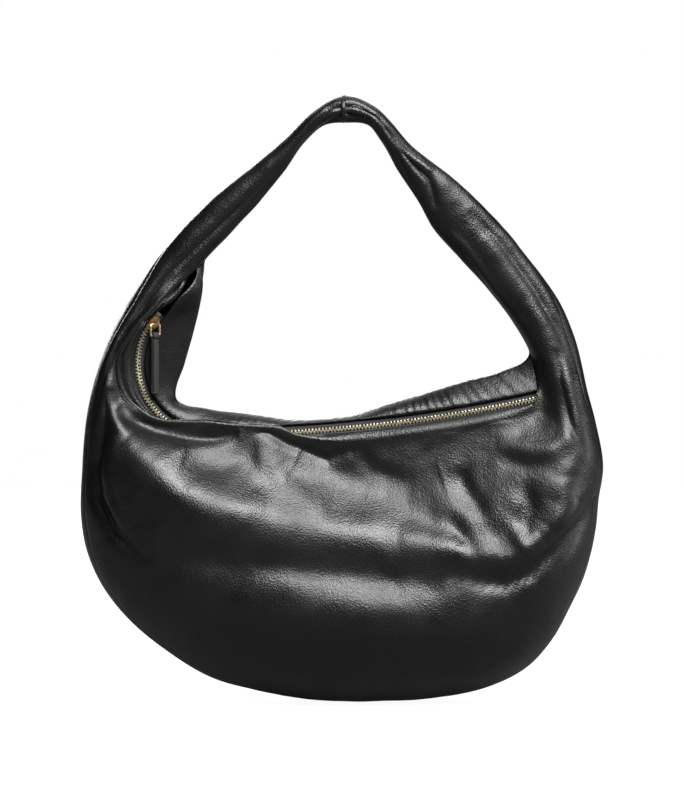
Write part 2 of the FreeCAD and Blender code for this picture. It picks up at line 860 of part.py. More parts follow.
def export(parts):
    """Checks every object and writes each sub-part's solids to parts/."""
    document.recompute()
    for item in document.Objects:
        if {"Invalid", "Error"} & set(item.State):
            raise RuntimeError(f"{item.Label} failed: {item.State}")
    os.makedirs("parts", exist_ok=True)
    for stale in os.listdir("parts"):
        if stale.endswith(".step"):
            os.remove(os.path.join("parts", stale))
    for part in parts:
        shape = part.Shape
        if shape.isNull() or not shape.isValid() or not shape.Solids:
            raise RuntimeError(f"{part.Label} has no valid solid")
        solids = Part.makeCompound(shape.Solids) if len(shape.Solids) > 1 else shape.Solids[0]
        solids.exportStep(os.path.join("parts", f"{part.Label}.step"))
        box = shape.BoundBox
        print(f"{part.Label}: {len(shape.Solids)} solids, {shape.Volume:.0f} mm3, "
              f"x {box.XMin:.1f} {box.XMax:.1f} y {box.YMin:.1f} {box.YMax:.1f} "
              f"z {box.ZMin:.1f} {box.ZMax:.1f}")


fill_sheet()
export([*build_shell(), *build_strap(), *build_zip(), *build_slider(), build_ring(), build_pull()])
pivot = ring_pivot()
bar = hanging().multVec(Y_AXIS)
print(f"ring pivot {pivot.x:.4f} {pivot.y:.4f} {pivot.z:.4f}, along {bar.x:.4f} {bar.y:.4f} {bar.z:.4f}")
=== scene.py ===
"""A slouchy hobo bag of smooth black leather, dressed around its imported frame.

The leather is one crescent-shaped ring.  A point of it is given by a turn about a hub in the arm
loop and by a step across the section, from the outer edge to the lip of the mouth.  Ridges and
valleys drawn as lines on the front and the back lift that ring into folds.
"""

import json
import logging
import math
from dataclasses import dataclass
from enum import Enum

import bpy
import numpy as np
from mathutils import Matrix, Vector


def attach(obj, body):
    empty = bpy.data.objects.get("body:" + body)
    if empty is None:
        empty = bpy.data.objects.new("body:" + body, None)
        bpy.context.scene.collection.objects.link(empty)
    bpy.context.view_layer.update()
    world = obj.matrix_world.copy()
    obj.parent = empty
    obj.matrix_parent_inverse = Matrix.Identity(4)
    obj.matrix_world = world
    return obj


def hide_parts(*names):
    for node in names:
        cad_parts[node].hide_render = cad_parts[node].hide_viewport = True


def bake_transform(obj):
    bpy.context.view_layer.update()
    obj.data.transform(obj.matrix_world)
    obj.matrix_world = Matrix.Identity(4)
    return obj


Array = np.ndarray
Line = tuple[tuple[float, float], ...]

MM = 0.001
HUB_MM = (0.0, 287.0)
log = logging.getLogger("hobo_bag")

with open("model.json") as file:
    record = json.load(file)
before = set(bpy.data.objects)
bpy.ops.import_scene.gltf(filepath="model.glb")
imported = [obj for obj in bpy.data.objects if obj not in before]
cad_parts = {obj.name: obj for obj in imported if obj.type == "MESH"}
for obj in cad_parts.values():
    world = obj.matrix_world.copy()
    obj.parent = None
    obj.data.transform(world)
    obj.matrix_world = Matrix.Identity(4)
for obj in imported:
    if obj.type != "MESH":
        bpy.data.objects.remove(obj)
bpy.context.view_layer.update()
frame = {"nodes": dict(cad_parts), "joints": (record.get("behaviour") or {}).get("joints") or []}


class Side(Enum):
    """Which face of the bag a sheet of leather lies on; the value is the sign of its y."""

    FRONT = -1.0
    BACK = 1.0


# ---------------------------------------------------------------- mathematics of curves


def smooth(value: Array, low: float, high: float) -> Array:
    """Eases from 0 at low to 1 at high by 3t^2 - 2t^3, and stays flat outside.

    Args:
        value: Where to work it out.
        low: Where the rise starts; it may be above high, and the curve then falls.
        high: Where the rise ends.

    Returns:
        The eased share, in the shape of value.
    """
    t = np.clip((np.asarray(value, float) - low) / (high - low), 0.0, 1.0)
    return t * t * (3.0 - 2.0 * t)


def ring_spline(places: Array, values: Array, wanted: Array) -> Array:
    """A smooth periodic curve of period 360 through given values, by cubic Hermite pieces.

    Args:
        places: Degrees at which values are known, in any order.
        values: The values there.
        wanted: Degrees at which the curve is read.

    Returns:
        The curve's value at each wanted place.
    """
    order = np.argsort(np.mod(places, 360.0))
    x = np.mod(places, 360.0)[order]
    y = np.asarray(values, float)[order]
    x = np.concatenate([x[-2:] - 360.0, x, x[:2] + 360.0])
    y = np.concatenate([y[-2:], y, y[:2]])
    slope = (y[2:] - y[:-2]) / (x[2:] - x[:-2])
    slope = np.concatenate([slope[:1], slope, slope[-1:]])
    at = np.mod(wanted, 360.0)
    left = np.clip(np.searchsorted(x, at, side="right") - 1, 0, len(x) - 2)
    width = x[left + 1] - x[left]
    t = (at - x[left]) / width
    t2, t3 = t * t, t * t * t
    start = (2 * t3 - 3 * t2 + 1) * y[left] + (t3 - 2 * t2 + t) * width * slope[left]
    end = (3 * t2 - 2 * t3) * y[left + 1] + (t3 - t2) * width * slope[left + 1]
    return start + end


@dataclass(frozen=True)
class HubCurve:
    """A closed line in the bag's front view, given by its distance from the hub at each turn.

    Attributes:
        points: Points of the line, as across and up in millimetres.
    """

    points: Line

    def radius(self, turn: Array) -> Array:
        """Distance from the hub, in millimetres, at each turn in degrees from +X."""
        x, z = np.array(self.points).T
        x, z = x - HUB_MM[0], z - HUB_MM[1]
        return ring_spline(np.degrees(np.arctan2(z, x)), np.hypot(x, z), turn)


@dataclass(frozen=True)
class RingTable:
    """A quantity that changes round the ring, given at a few turns.

    Attributes:
        rows: Pairs of turn in degrees and value.
    """

    rows: Line

    def at(self, turn: Array) -> Array:
        """The quantity at each turn."""
        places, values = np.array(self.rows).T
        return ring_spline(places, values, turn)


@dataclass(frozen=True)
class Fold:
    """A ridge or valley in the leather along a line drawn on one face.

    Attributes:
        line: Points of the line in the front view, in millimetres.
        width: Distance over which it fades, in millimetres.
        height: Height of its crest in millimetres, negative for a valley.
        lean: Share by which it is broader on the side to the left of its line.
    """

    line: Line
    width: float
    height: float
    lean: float = 0.0

    def lift(self, x: Array, z: Array) -> Array:
        """Height added at each place: a bell across the line that fades towards both its ends.

        Args:
            x: Across, in millimetres.
            z: Up, in millimetres.

        Returns:
            The lift in millimetres.
        """
        points = np.array(self.line)
        steps = np.hypot(*np.diff(points, axis=0).T)
        total = steps.sum()
        nearest = np.full(x.shape, 1e9)
        along = np.zeros(x.shape)
        hand = np.ones(x.shape)
        walked = 0.0
        for (ax, az), (bx, bz), step in zip(points[:-1], points[1:], steps):
            ux, uz = (bx - ax) / step, (bz - az) / step
            reach = np.clip((x - ax) * ux + (z - az) * uz, 0.0, step)
            dx, dz = x - ax - reach * ux, z - az - reach * uz
            gap = np.hypot(dx, dz)
            closer = gap < nearest
            nearest = np.where(closer, gap, nearest)
            along = np.where(closer, (walked + reach) / total, along)
            hand = np.where(closer, np.sign(ux * dz - uz * dx), hand)
            walked += step
        width = self.width * (1.0 + self.lean * hand)
        fade = np.sqrt(np.clip(np.sin(np.pi * along), 0.0, 1.0))
        return self.height * fade * np.exp(-((nearest / width) ** 2))


# ---------------------------------------------------------------- meshes from grids


def grid_object(name: str, points: Array, ring: bool = False, tube: bool = False,
                caps: bool = False) -> bpy.types.Object:
    """Makes a mesh object from a grid of points, with a UV map in metres of both steps.

    Args:
        name: Name of the object.
        points: Array of rows by columns by 3, in metres.
        ring: Whether the last row joins the first.
        tube: Whether the last column joins the first.
        caps: Whether a tube's two ends are closed with flat faces.

    Returns:
        The object, linked to the scene.
    """
    rows, columns = points.shape[:2]
    index = np.arange(rows * columns).reshape(rows, columns)
    down = np.concatenate([index, index[:1]]) if ring else index
    full = np.concatenate([down, down[:, :1]], axis=1) if tube else down
    quads = np.stack([full[:-1, :-1], full[:-1, 1:], full[1:, 1:], full[1:, :-1]], axis=-1)
    quads = quads.reshape(-1, 4)
    mesh = bpy.data.meshes.new(name)
    ends = [index[0].tolist(), index[-1, ::-1].tolist()] if caps else []
    mesh.from_pydata(points.reshape(-1, 3), [], quads.tolist() + ends)
    steps_u = np.linalg.norm(np.diff(points, axis=0), axis=2).mean(axis=1)
    steps_v = np.linalg.norm(np.diff(points, axis=1), axis=2).mean(axis=0)
    u = np.concatenate([[0.0], np.cumsum(steps_u), [steps_u.sum() + steps_u.mean()]])
    v = np.concatenate([[0.0], np.cumsum(steps_v), [steps_v.sum() + steps_v.mean()]])
    cell_row, cell_column = np.divmod(np.arange(len(quads)), full.shape[1] - 1)
    corner_u = np.stack([cell_row, cell_row, cell_row + 1, cell_row + 1], axis=-1)
    corner_v = np.stack([cell_column, cell_column + 1, cell_column + 1, cell_column], axis=-1)
    uv = np.stack([u[corner_u], v[corner_v]], axis=-1).reshape(-1, 2)
    uv = np.concatenate([uv, np.zeros((len(mesh.loops) - len(uv), 2))])
    layer = mesh.uv_layers.new(name="surface")
    layer.data.foreach_set("uv", uv.reshape(-1).astype(np.float32))
    mesh.polygons.foreach_set("use_smooth", np.arange(len(mesh.polygons)) < len(quads))
    mesh.validate()
    mesh.update()
    made = bpy.data.objects.new(name, mesh)
    bpy.context.scene.collection.objects.link(made)
    return made


def thicken(piece: bpy.types.Object, ply: float, offset: float = -1.0) -> None:
    """Gives a sheet its thickness, on the side that its faces turn away from by default."""
    wall = piece.modifiers.new("ply", "SOLIDIFY")
    wall.thickness = ply
    wall.offset = offset
    wall.use_even_offset = False


def normals_of(points: Array, ring: bool) -> Array:
    """Unit normals of a grid surface from the cross product of its two steps."""
    if ring:
        wrapped = np.concatenate([points[-1:], points, points[:1]])
        by_row = (wrapped[2:] - wrapped[:-2]) / 2.0
    else:
        by_row = np.gradient(points, axis=0)
    by_column = np.gradient(points, axis=1)
    cross = np.cross(by_column, by_row)
    length = np.linalg.norm(cross, axis=2, keepdims=True)
    return cross / np.maximum(length, 1e-12)


def stitch_row(name: str, path: Array, up: Array, pitch: float, length: float,
               radius: float) -> bpy.types.Object:
    """A row of stitches along a path, each a short thread that arches a little and dives at its ends.

    Along a stitch s runs from -1 to 1; its height is 1 - s^2 and its thickness sqrt(1 - 0.8 s^2).

    Args:
        name: Name of the object.
        path: Points of the path, in metres.
        up: Unit vectors away from the leather at those points.
        pitch: Distance from one stitch to the next, in metres.
        length: Length of one stitch, in metres.
        radius: Radius of the thread, in metres.

    Returns:
        The object.
    """
    steps = np.linalg.norm(np.diff(path, axis=0), axis=1)
    walked = np.concatenate([[0.0], np.cumsum(steps)])
    middle = np.arange(pitch, walked[-1] - pitch, pitch)
    along = np.linspace(-1.0, 1.0, 5)
    places = middle[:, None] + along[None, :] * length / 2.0
    centre = np.stack([np.interp(places, walked, path[:, k]) for k in range(3)], axis=-1)
    raised = np.stack([np.interp(places, walked, up[:, k]) for k in range(3)], axis=-1)
    forward = np.gradient(centre, axis=1)
    forward /= np.linalg.norm(forward, axis=2, keepdims=True)
    sideways = np.cross(raised, forward)
    centre = centre + raised * ((1.0 - along ** 2) * radius * 1.2 - radius * 0.5)[None, :, None]
    thick = radius * np.sqrt(1.0 - 0.8 * along ** 2)
    spin = np.radians(np.arange(0.0, 360.0, 60.0))
    ring = (sideways[:, :, None] * np.cos(spin)[None, None, :, None]
            + raised[:, :, None] * np.sin(spin)[None, None, :, None])
    points = centre[:, :, None] + ring * thick[None, :, None, None]
    count, rows, columns = points.shape[:3]
    index = np.arange(rows * columns).reshape(rows, columns)
    full = np.concatenate([index, index[:, :1]], axis=1)
    quads = np.stack([full[:-1, :-1], full[:-1, 1:], full[1:, 1:], full[1:, :-1]], axis=-1)
    quads = quads.reshape(-1, 4)
    offsets = (np.arange(count) * rows * columns)[:, None]
    sides = (quads[None] + offsets[..., None]).reshape(-1, 4)
    first = index[0][::-1][None] + offsets
    last = index[-1][None] + offsets
    mesh = bpy.data.meshes.new(name)
    mesh.from_pydata(points.reshape(-1, 3), [], sides.tolist() + first.tolist() + last.tolist())
    mesh.polygons.foreach_set("use_smooth", np.ones(len(mesh.polygons), dtype=bool))
    mesh.update()
    made = bpy.data.objects.new(name, mesh)
    bpy.context.scene.collection.objects.link(made)
    return made


# ---------------------------------------------------------------- the leather ring


@dataclass(frozen=True)
class ZipLine:
    """The J that the zip follows in the front view: a corner arc, then a long shallow arc.

    Attributes:
        corner: Centre of the corner arc, as across and up in millimetres.
        corner_radius: Radius of the corner arc.
        run_radius: Radius of the shallow arc.
        start: Turn about the corner's centre at the closed end, in degrees.
        end: Place across at which the line stops.
        lead: Length of the straight line that carries on past the closed end.
        depth: Its place from front to back.
        tilt: Degrees by which the zip's face leans to the front.
    """

    corner: tuple[float, float] = (-93.0, 238.0)
    corner_radius: float = 50.0
    run_radius: float = 1050.0
    start: float = 134.0
    end: float = 166.0
    lead: float = 40.0
    depth: float = -11.0
    tilt: float = 38.0

    def trace(self) -> tuple[Array, Array]:
        """Points of the J from its lead to its end, with unit vectors to the centre of their arc."""
        hub = np.array(self.corner)
        turn = np.radians(np.linspace(self.start, 270.0, 120))
        corner_in = -np.stack([np.cos(turn), np.sin(turn)], axis=-1)
        corner = hub - self.corner_radius * corner_in
        sweep = np.linspace(0.0, math.asin((self.end - hub[0]) / self.run_radius), 200)[1:]
        run_in = np.stack([-np.sin(sweep), np.cos(sweep)], axis=-1)
        run = hub + np.array([0.0, self.run_radius - self.corner_radius]) - self.run_radius * run_in
        away = np.array([-corner_in[0, 1], corner_in[0, 0]]) * -1.0
        away = away if away[1] > 0 else -away
        lead = corner[0] + away * np.linspace(self.lead, 0.0, 30)[:-1, None]
        lead_in = np.tile(corner_in[:1], (len(lead), 1))
        return np.concatenate([lead, corner, run]), np.concatenate([lead_in, corner_in, run_in])

    def at(self, turn: Array) -> tuple[Array, Array, Array]:
        """The zip's middle, its direction to the back tape and its direction out of the bag.

        Args:
            turn: Turns about the hub, in degrees.

        Returns:
            Three arrays of turns by 3: points in millimetres and two sets of unit vectors.
        """
        points, inward = self.trace()
        x, z = points[:, 0] - HUB_MM[0], points[:, 1] - HUB_MM[1]
        place = np.mod(np.degrees(np.arctan2(z, x)), 360.0)
        order = np.argsort(place)
        read = [np.interp(turn, place[order], row[order]) for row in (np.hypot(x, z), *inward.T)]
        radius, in_x, in_z = read
        angle, lean = np.radians(turn), math.radians(self.tilt)
        flat = np.full_like(angle, self.depth)
        middle = np.stack([HUB_MM[0] + radius * np.cos(angle), flat,
                           HUB_MM[1] + radius * np.sin(angle)], axis=-1)
        across = np.stack([in_x * math.sin(lean), np.full_like(angle, math.cos(lean)),
                           in_z * math.sin(lean)], axis=-1)
        out = np.stack([in_x * math.cos(lean), np.full_like(angle, -math.sin(lean)),
                        in_z * math.cos(lean)], axis=-1)
        return middle, across, out


OUTER = HubCurve((
    (2, 423.5), (22, 416.5), (34, 405), (45, 392), (56, 383), (69, 373), (86, 359), (103, 342),
    (122, 321), (139, 300), (153, 279), (162, 258), (171, 222), (178, 195), (183, 166), (180, 142),
    (178, 121), (170, 88), (160, 66), (148, 44), (130, 24), (105, 11), (77, 4), (44, 0.8),
    (2, 0.2), (-30, 2.5), (-60, 8), (-92, 17), (-125, 37), (-150, 58), (-168, 81), (-179, 106),
    (-183, 130), (-182, 165), (-178, 205), (-166, 247), (-144, 289), (-130, 310), (-111, 331),
    (-90, 352), (-64, 373), (-40, 393), (-18, 414),
))
STRAP_RIGHT = ((19, 405), (28, 394), (40, 373), (54, 352), (66, 331), (85, 310), (104, 289),
               (120, 268), (132, 247))
STRAP_LEFT = ((-85, 323), (-72, 337), (-58, 352), (-41, 373), (-26, 394), (-13, 405), (3, 407))
FRONT_LIP = HubCurve((
    *STRAP_RIGHT, (135, 237), (137, 226), (136.5, 215), (132, 206.5), (97, 197.5), (55, 190.5),
    (27, 186), (2, 184), (-29, 188), (-50, 194), (-92, 198), (-129, 200), (-145, 209), (-152, 216),
    (-157, 230), (-156, 243), (-147, 258), (-128, 277), (-105, 302), *STRAP_LEFT,
))
BACK_LIP = HubCurve((
    *STRAP_RIGHT, (128, 238), (114, 231), (86, 223), (58, 214), (30, 205.5), (2, 198), (-26, 196),
    (-68, 200), (-96, 204), (-118, 211), (-112, 237), (-106, 258), (-101, 279), (-98, 300),
    (-96, 312), *STRAP_LEFT,
))
HALF_DEPTH = RingTable((
    (90, 9.0), (68, 7.5), (55, 7.5), (35, 9.0), (10, 11.0), (353, 15.0), (343, 20.0), (333, 28.0),
    (320, 40.0), (300, 53.0), (270, 59.5), (243, 57.0), (228, 50.0), (216, 40.0), (205, 28.0),
    (195, 21.0), (180, 15.0), (165, 11.0), (145, 9.0), (118, 8.0),
))
BULGE_PLACE = RingTable(((90, 0.5), (0, 0.5), (340, 0.46), (325, 0.38), (308, 0.32), (290, 0.34),
                         (270, 0.41), (245, 0.5), (225, 0.57), (208, 0.58), (180, 0.5)))
EDGE_POWER = RingTable(((90, 0.5), (0, 0.6), (340, 0.72), (318, 0.74), (295, 0.56), (270, 0.45),
                        (245, 0.5), (225, 0.6), (205, 0.68), (180, 0.66)))
FRONT_LIP_Y = RingTable((
    (90, 0.0), (343, 1.0), (338, 12.0), (325, 19.5), (300, 20.5), (270, 20.5), (248, 21.5),
    (225, 23.0), (205, 21.0), (190, 18.5), (180, 14.0), (170, 6.0), (164, 1.0), (150, 0.0),
))
BACK_LIP_Y = RingTable((
    (90, 0.0), (343, 0.5), (335, 3.0), (310, 4.0), (270, 3.0), (230, 3.0), (212, 4.0), (195, 4.0),
    (180, 3.0), (168, 1.0), (160, 0.0),
))
OPEN_LEFT = (166.0, 184.0)
OPEN_RIGHT = (344.0, 332.0)

FRONT_FOLDS = (
    # the belly swells along a line that falls from the upper left to the lower right
    Fold(((-156, 180), (-138, 162), (-112, 147), (-70, 136), (-20, 127), (40, 114), (100, 98)),
         15.0, 4.8),
    Fold(((-110, 176), (-84, 169), (-58, 174)), 12.0, -2.6),
    Fold(((-54, 190), (-51, 172), (-40, 152), (-8, 140)), 9.0, 2.4),
    Fold(((-30, 176), (0, 160), (44, 150), (70, 158)), 12.0, -2.6),
    # the overhang's crease, and the sharper fold where it turns up at the right
    Fold(((-130, 112), (-70, 103), (-10, 97), (40, 92), (84, 90)), 12.0, -5.0),
    Fold(((70, 98), (94, 91), (112, 89), (130, 96), (150, 114), (166, 131), (178, 148)), 6.5, -5.0),
    Fold(((40, 119), (86, 109), (111, 105), (128, 111), (147, 128), (162, 148)), 8.0, 3.6),
    Fold(((-134, 82), (-100, 70), (-50, 61), (20, 57), (70, 54), (110, 56)), 16.0, 4.0),
    Fold(((-90, 66), (-40, 56), (20, 48), (90, 44)), 4.0, -0.7),
    Fold(((-40, 78), (10, 72), (70, 68)), 5.0, 0.8),
    # left crease, from under the strap's root to the belly
    Fold(((-163, 222), (-166, 198), (-171, 170), (-170, 146), (-158, 121), (-132, 102)), 5.0, -5.0, 0.3),
    Fold(((-158, 190), (-163, 165), (-160, 145), (-148, 126)), 6.0, 3.0),
    # the hollow under the rolled lip
    Fold(((-156, 208), (-148, 201), (-129, 193), (-108, 188.5), (-88, 187.5), (-72, 191)), 5.0, -4.5),
    Fold(((-60, 198), (-50, 190), (-40, 184), (-20, 176), (-10, 173), (8, 180)), 4.0, -2.6),
    # pulls and dents of the right shoulder
    Fold(((80, 166), (88, 150), (99, 136)), 6.5, -1.8),
    Fold(((75, 132), (84, 118), (94, 105)), 6.0, -1.9),
    Fold(((58, 158), (68, 144), (80, 134), (96, 127)), 8.5, 1.8),
    Fold(((110, 171), (128, 168), (144, 169), (163, 179)), 7.0, -1.6),
    Fold(((108, 181), (128, 179), (146, 180), (160, 189)), 6.0, 1.4),
    Fold(((154, 160), (156, 142), (146, 126)), 9.0, 2.2),
    Fold(((126, 160), (130, 142), (122, 126)), 8.0, -2.2),
    Fold(((118, 124), (128, 112), (138, 118)), 5.0, 2.0),
    Fold(((6, 182), (22, 166), (50, 156)), 6.0, -1.8),
    # right strap's root
    Fold(((162, 232), (150, 262), (134, 290), (112, 320), (88, 345)), 4.0, -2.2),
    Fold(((150, 250), (152, 226), (158, 200), (166, 178)), 4.0, -2.4),
    Fold(((73, 331), (85, 321), (95, 308), (106, 293), (115, 282)), 2.2, 1.6),
    Fold(((30, 400), (40, 389), (50, 380), (62, 371)), 2.0, 1.8),
    # left strap: creases that run its length
    Fold(((-176, 190), (-166, 228), (-150, 262), (-128, 292), (-100, 320), (-66, 352), (-36, 384)),
         3.0, -2.4),
    Fold(((-160, 210), (-158, 240), (-142, 268), (-116, 297), (-88, 322), (-58, 352)), 3.5, 2.0),
    Fold(((-166, 225), (-148, 262), (-118, 296), (-80, 330), (-48, 364), (-22, 400)), 2.2, -1.8),
    Fold(((-30, 389), (-14, 404), (2, 412), (18, 408), (32, 394)), 1.8, -2.2),
    Fold(((-26, 398), (-8, 416), (10, 418), (26, 408), (40, 388)), 1.8, -1.6),
    # right strap's neck
    Fold(((30, 402), (44, 384), (60, 366), (66, 345)), 2.6, -2.6, 0.3),
    Fold(((36, 388), (46, 368), (56, 350)), 2.4, -1.8),
)
BACK_FOLDS = (
    Fold(((150, 170), (80, 158), (0, 132), (-80, 110), (-140, 96)), 24.0, 4.5, 0.3),
    Fold(((120, 188), (40, 176), (-50, 160)), 14.0, -2.6),
    Fold(((130, 96), (60, 82), (-20, 72), (-100, 70)), 16.0, 3.0),
    Fold(((166, 200), (171, 160), (160, 122), (134, 102)), 6.5, -4.5, 0.4),
    Fold(((-92, 100), (-130, 104), (-164, 132)), 6.0, -4.5, 0.3),
    Fold(((-160, 210), (-140, 262), (-104, 312), (-58, 358)), 3.5, -2.0),
    Fold(((160, 215), (146, 262), (108, 312), (64, 358)), 3.5, -2.2),
    Fold(((-20, 402), (2, 413), (20, 404), (40, 382)), 1.8, -2.0),
    Fold(((10, 200), (0, 180), (-26, 158)), 7.0, -2.2),
)


@dataclass(frozen=True)
class LeatherRing:
    """The crescent of leather as a surface of two numbers: turn about the hub and step across.

    Attributes:
        turns: Number of sections round the ring.
        steps: Number of points from the outer seam to the lip.
        hem_steps: Number of points from the lip over the turned edge.
        ply: Thickness of the leather.
        gusset_half: Half the width of the band between the front and the back leather.
        seam_width: Half width of the groove at the band's seams.
        seam_depth: Depth of that groove.
        tape_cover: Distance from the zip's middle to the turned edge on its tape.
        tape_rise: Height of the turned edge over the middle of the tape.
        roll: How far the leather rolls beyond its lip.
    """

    turns: int = 660
    steps: int = 61
    hem_steps: int = 13
    ply: float = 1.3 * MM
    gusset_half: float = 15.0
    seam_width: float = 1.9
    seam_depth: float = 1.1
    tape_cover: float = 6.0
    tape_rise: float = 1.75
    roll: float = 4.5

    def places(self) -> Array:
        """Turns of the sections, in degrees, set closer over the wide body than in the strap."""
        fine = np.linspace(0.0, 360.0, 3601)
        density = 1.0 + 1.3 * smooth(fine, 190.0, 210.0) * smooth(fine, 352.0, 338.0)
        walked = np.concatenate([[0.0], np.cumsum((density[1:] + density[:-1]) / 2.0)])
        wanted = np.arange(self.turns) * walked[-1] / self.turns
        return np.interp(wanted, walked, fine)

    def openness(self, turn: Array) -> Array:
        """How far the section is opened by the mouth: 0 in the strap, 1 over the body."""
        left = smooth(turn, *OPEN_LEFT)
        right = smooth(turn, *OPEN_RIGHT)
        return np.where(turn > 270.0, right, np.where(turn > 90.0, left, 0.0))

    def rise(self, share: Array, opened: Array, place: Array, lip: Array, power: Array) -> Array:
        """Depth of the section as a share of its half depth.

        In the strap the section is an ellipse, 2 sqrt(u (1 - u)).  Over the body it climbs as a
        quarter of an egg up to the bulge's place, and falls from there as a cosine to the lip.

        Args:
            share: How far from the outer edge to the lip, 0 to 1.
            opened: The section's openness.
            place: Share at which the bulge is deepest.
            lip: Depth at the lip, as a share of the half depth.
            power: Exponent of the climb from the outer edge; a low one gives a boxy edge.

        Returns:
            The depth's share.
        """
        oval = 2.0 * np.sqrt(np.clip(share * (1.0 - share), 0.0, 1.0))
        climb = np.clip(1.0 - (1.0 - np.minimum(share / place, 1.0)) ** 2, 0.0, 1.0) ** power
        past = np.clip((share - place) / (1.0 - place), 0.0, 1.0)
        fall = lip + (1.0 - lip) * (0.5 + 0.5 * np.cos(np.pi * past))
        body = np.where(share < place, climb, fall)
        return (1.0 - opened) * oval + opened * body

    def surface(self, turn: Array, step: Array, side: Side) -> Array:
        """Points of the ring before any fold is added, in millimetres.

        Args:
            turn: Turn of each section, in degrees.
            step: Steps across each section, 0 at the outer edge and 1 at the lip.
            side: The face of the bag.

        Returns:
            Array of turns by steps by 3.
        """
        lip_curve = FRONT_LIP if side is Side.FRONT else BACK_LIP
        lip_y = FRONT_LIP_Y if side is Side.FRONT else BACK_LIP_Y
        opened = self.openness(turn)[:, None]
        closed_share = 0.5 - 0.5 * np.cos(np.pi * step)
        open_share = 1.0 - np.cos(np.pi * step / 2.0)
        share = (1.0 - opened) * closed_share + opened * open_share
        outer = OUTER.radius(turn)[:, None]
        inner = lip_curve.radius(turn)[:, None]
        depth = HALF_DEPTH.at(turn)[:, None]
        lip = lip_y.at(turn)[:, None] / depth
        place = BULGE_PLACE.at(turn)[:, None]
        radius = outer - (outer - inner) * share
        angle = np.radians(turn)[:, None]
        x = HUB_MM[0] + radius * np.cos(angle)
        z = HUB_MM[1] + radius * np.sin(angle)
        power = EDGE_POWER.at(turn)[:, None]
        y = side.value * depth * self.rise(share, opened, place, lip, power)
        return np.stack([x, y, z], axis=-1)

    def seen_at(self, x: Array, z: Array, side: Side) -> Array:
        """Depth of the folded leather at places of the front view, in millimetres."""
        turn = np.mod(np.degrees(np.arctan2(z - HUB_MM[1], x - HUB_MM[0])), 360.0)
        lip_curve = FRONT_LIP if side is Side.FRONT else BACK_LIP
        lip_y = FRONT_LIP_Y if side is Side.FRONT else BACK_LIP_Y
        outer, inner = OUTER.radius(turn), lip_curve.radius(turn)
        share = np.clip((outer - np.hypot(x - HUB_MM[0], z - HUB_MM[1])) / (outer - inner), 0.0, 1.0)
        depth = HALF_DEPTH.at(turn)
        risen = self.rise(share, self.openness(turn), BULGE_PLACE.at(turn),
                          lip_y.at(turn) / depth, EDGE_POWER.at(turn))
        return side.value * (depth * risen + self.creases(x, z, side))

    def seam_step(self, turn: Array) -> Array:
        """Step at which the side band ends; it narrows to a point in both roots of the strap."""
        fine = np.linspace(0.0, 1.0, 400)
        depth = np.abs(self.surface(turn, np.tile(fine, (len(turn), 1)), Side.FRONT)[..., 1])
        reach = self.gusset_half * self.band_share(turn)
        crossed = np.argmax(depth >= np.minimum(reach, 0.7 * depth.max(axis=1))[:, None], axis=1)
        return fine[crossed]

    def band_share(self, turn: Array) -> Array:
        """Width of the side band as a share of its full width: 0 in the strap."""
        left = smooth(turn, 150.0, 200.0)
        right = smooth(turn, 380.0, 335.0)
        crown = smooth(turn + 360.0, 380.0, 335.0)
        return np.where(turn > 270.0, right, np.where(turn > 90.0, left, crown))

    def creases(self, x: Array, z: Array, side: Side) -> Array:
        """Sum of all folds of one face, with a faint unevenness of the skin, in millimetres."""
        total = np.zeros_like(x)
        for fold in FRONT_FOLDS if side is Side.FRONT else BACK_FOLDS:
            total = total + fold.lift(x, z)
        draw = np.random.default_rng(31 if side is Side.FRONT else 47)
        for wave in range(36):
            length = 60.0 * 0.945 ** wave
            heading, phase = draw.uniform(0.0, np.pi), draw.uniform(0.0, 2.0 * np.pi)
            across = x * np.cos(heading) + z * np.sin(heading)
            total += 0.0018 * length * np.sin(2.0 * np.pi * across / length + phase)
        return total

    def sheet(self, side: Side) -> Array:
        """One face of the leather from its seam to its lip, with folds, in metres."""
        turn = self.places()
        even = np.linspace(0.0, 1.0, self.steps)
        eased = even - 0.7 * np.sin(2.0 * np.pi * even) / (2.0 * np.pi)
        seam = self.seam_step(turn)[:, None]
        step = seam + (1.0 - seam) * eased
        points = self.surface(turn, step, side)
        out = normals_of(points, ring=True) * side.value
        out = out * np.sign(np.sum(out[..., 1] * side.value))
        lift = self.creases(points[..., 0], points[..., 2], side)
        facing = np.clip(np.abs(out[..., 1]) * 1.6, 0.0, 1.0)
        steps = np.linalg.norm(np.diff(points, axis=1), axis=2)
        walked = np.concatenate([np.zeros((len(turn), 1)), np.cumsum(steps, axis=1)], axis=1)
        groove = -self.seam_depth * np.exp(-((walked / self.seam_width) ** 2))
        near_lip = walked[:, -1:] - walked
        hold = smooth(near_lip, 0.0, 5.0)
        points = points + out * (lift * facing * hold + groove)[..., None]
        points = np.concatenate([points, self.hem(turn, side)[:, 1:]], axis=1)
        return self.grounded(points) * MM

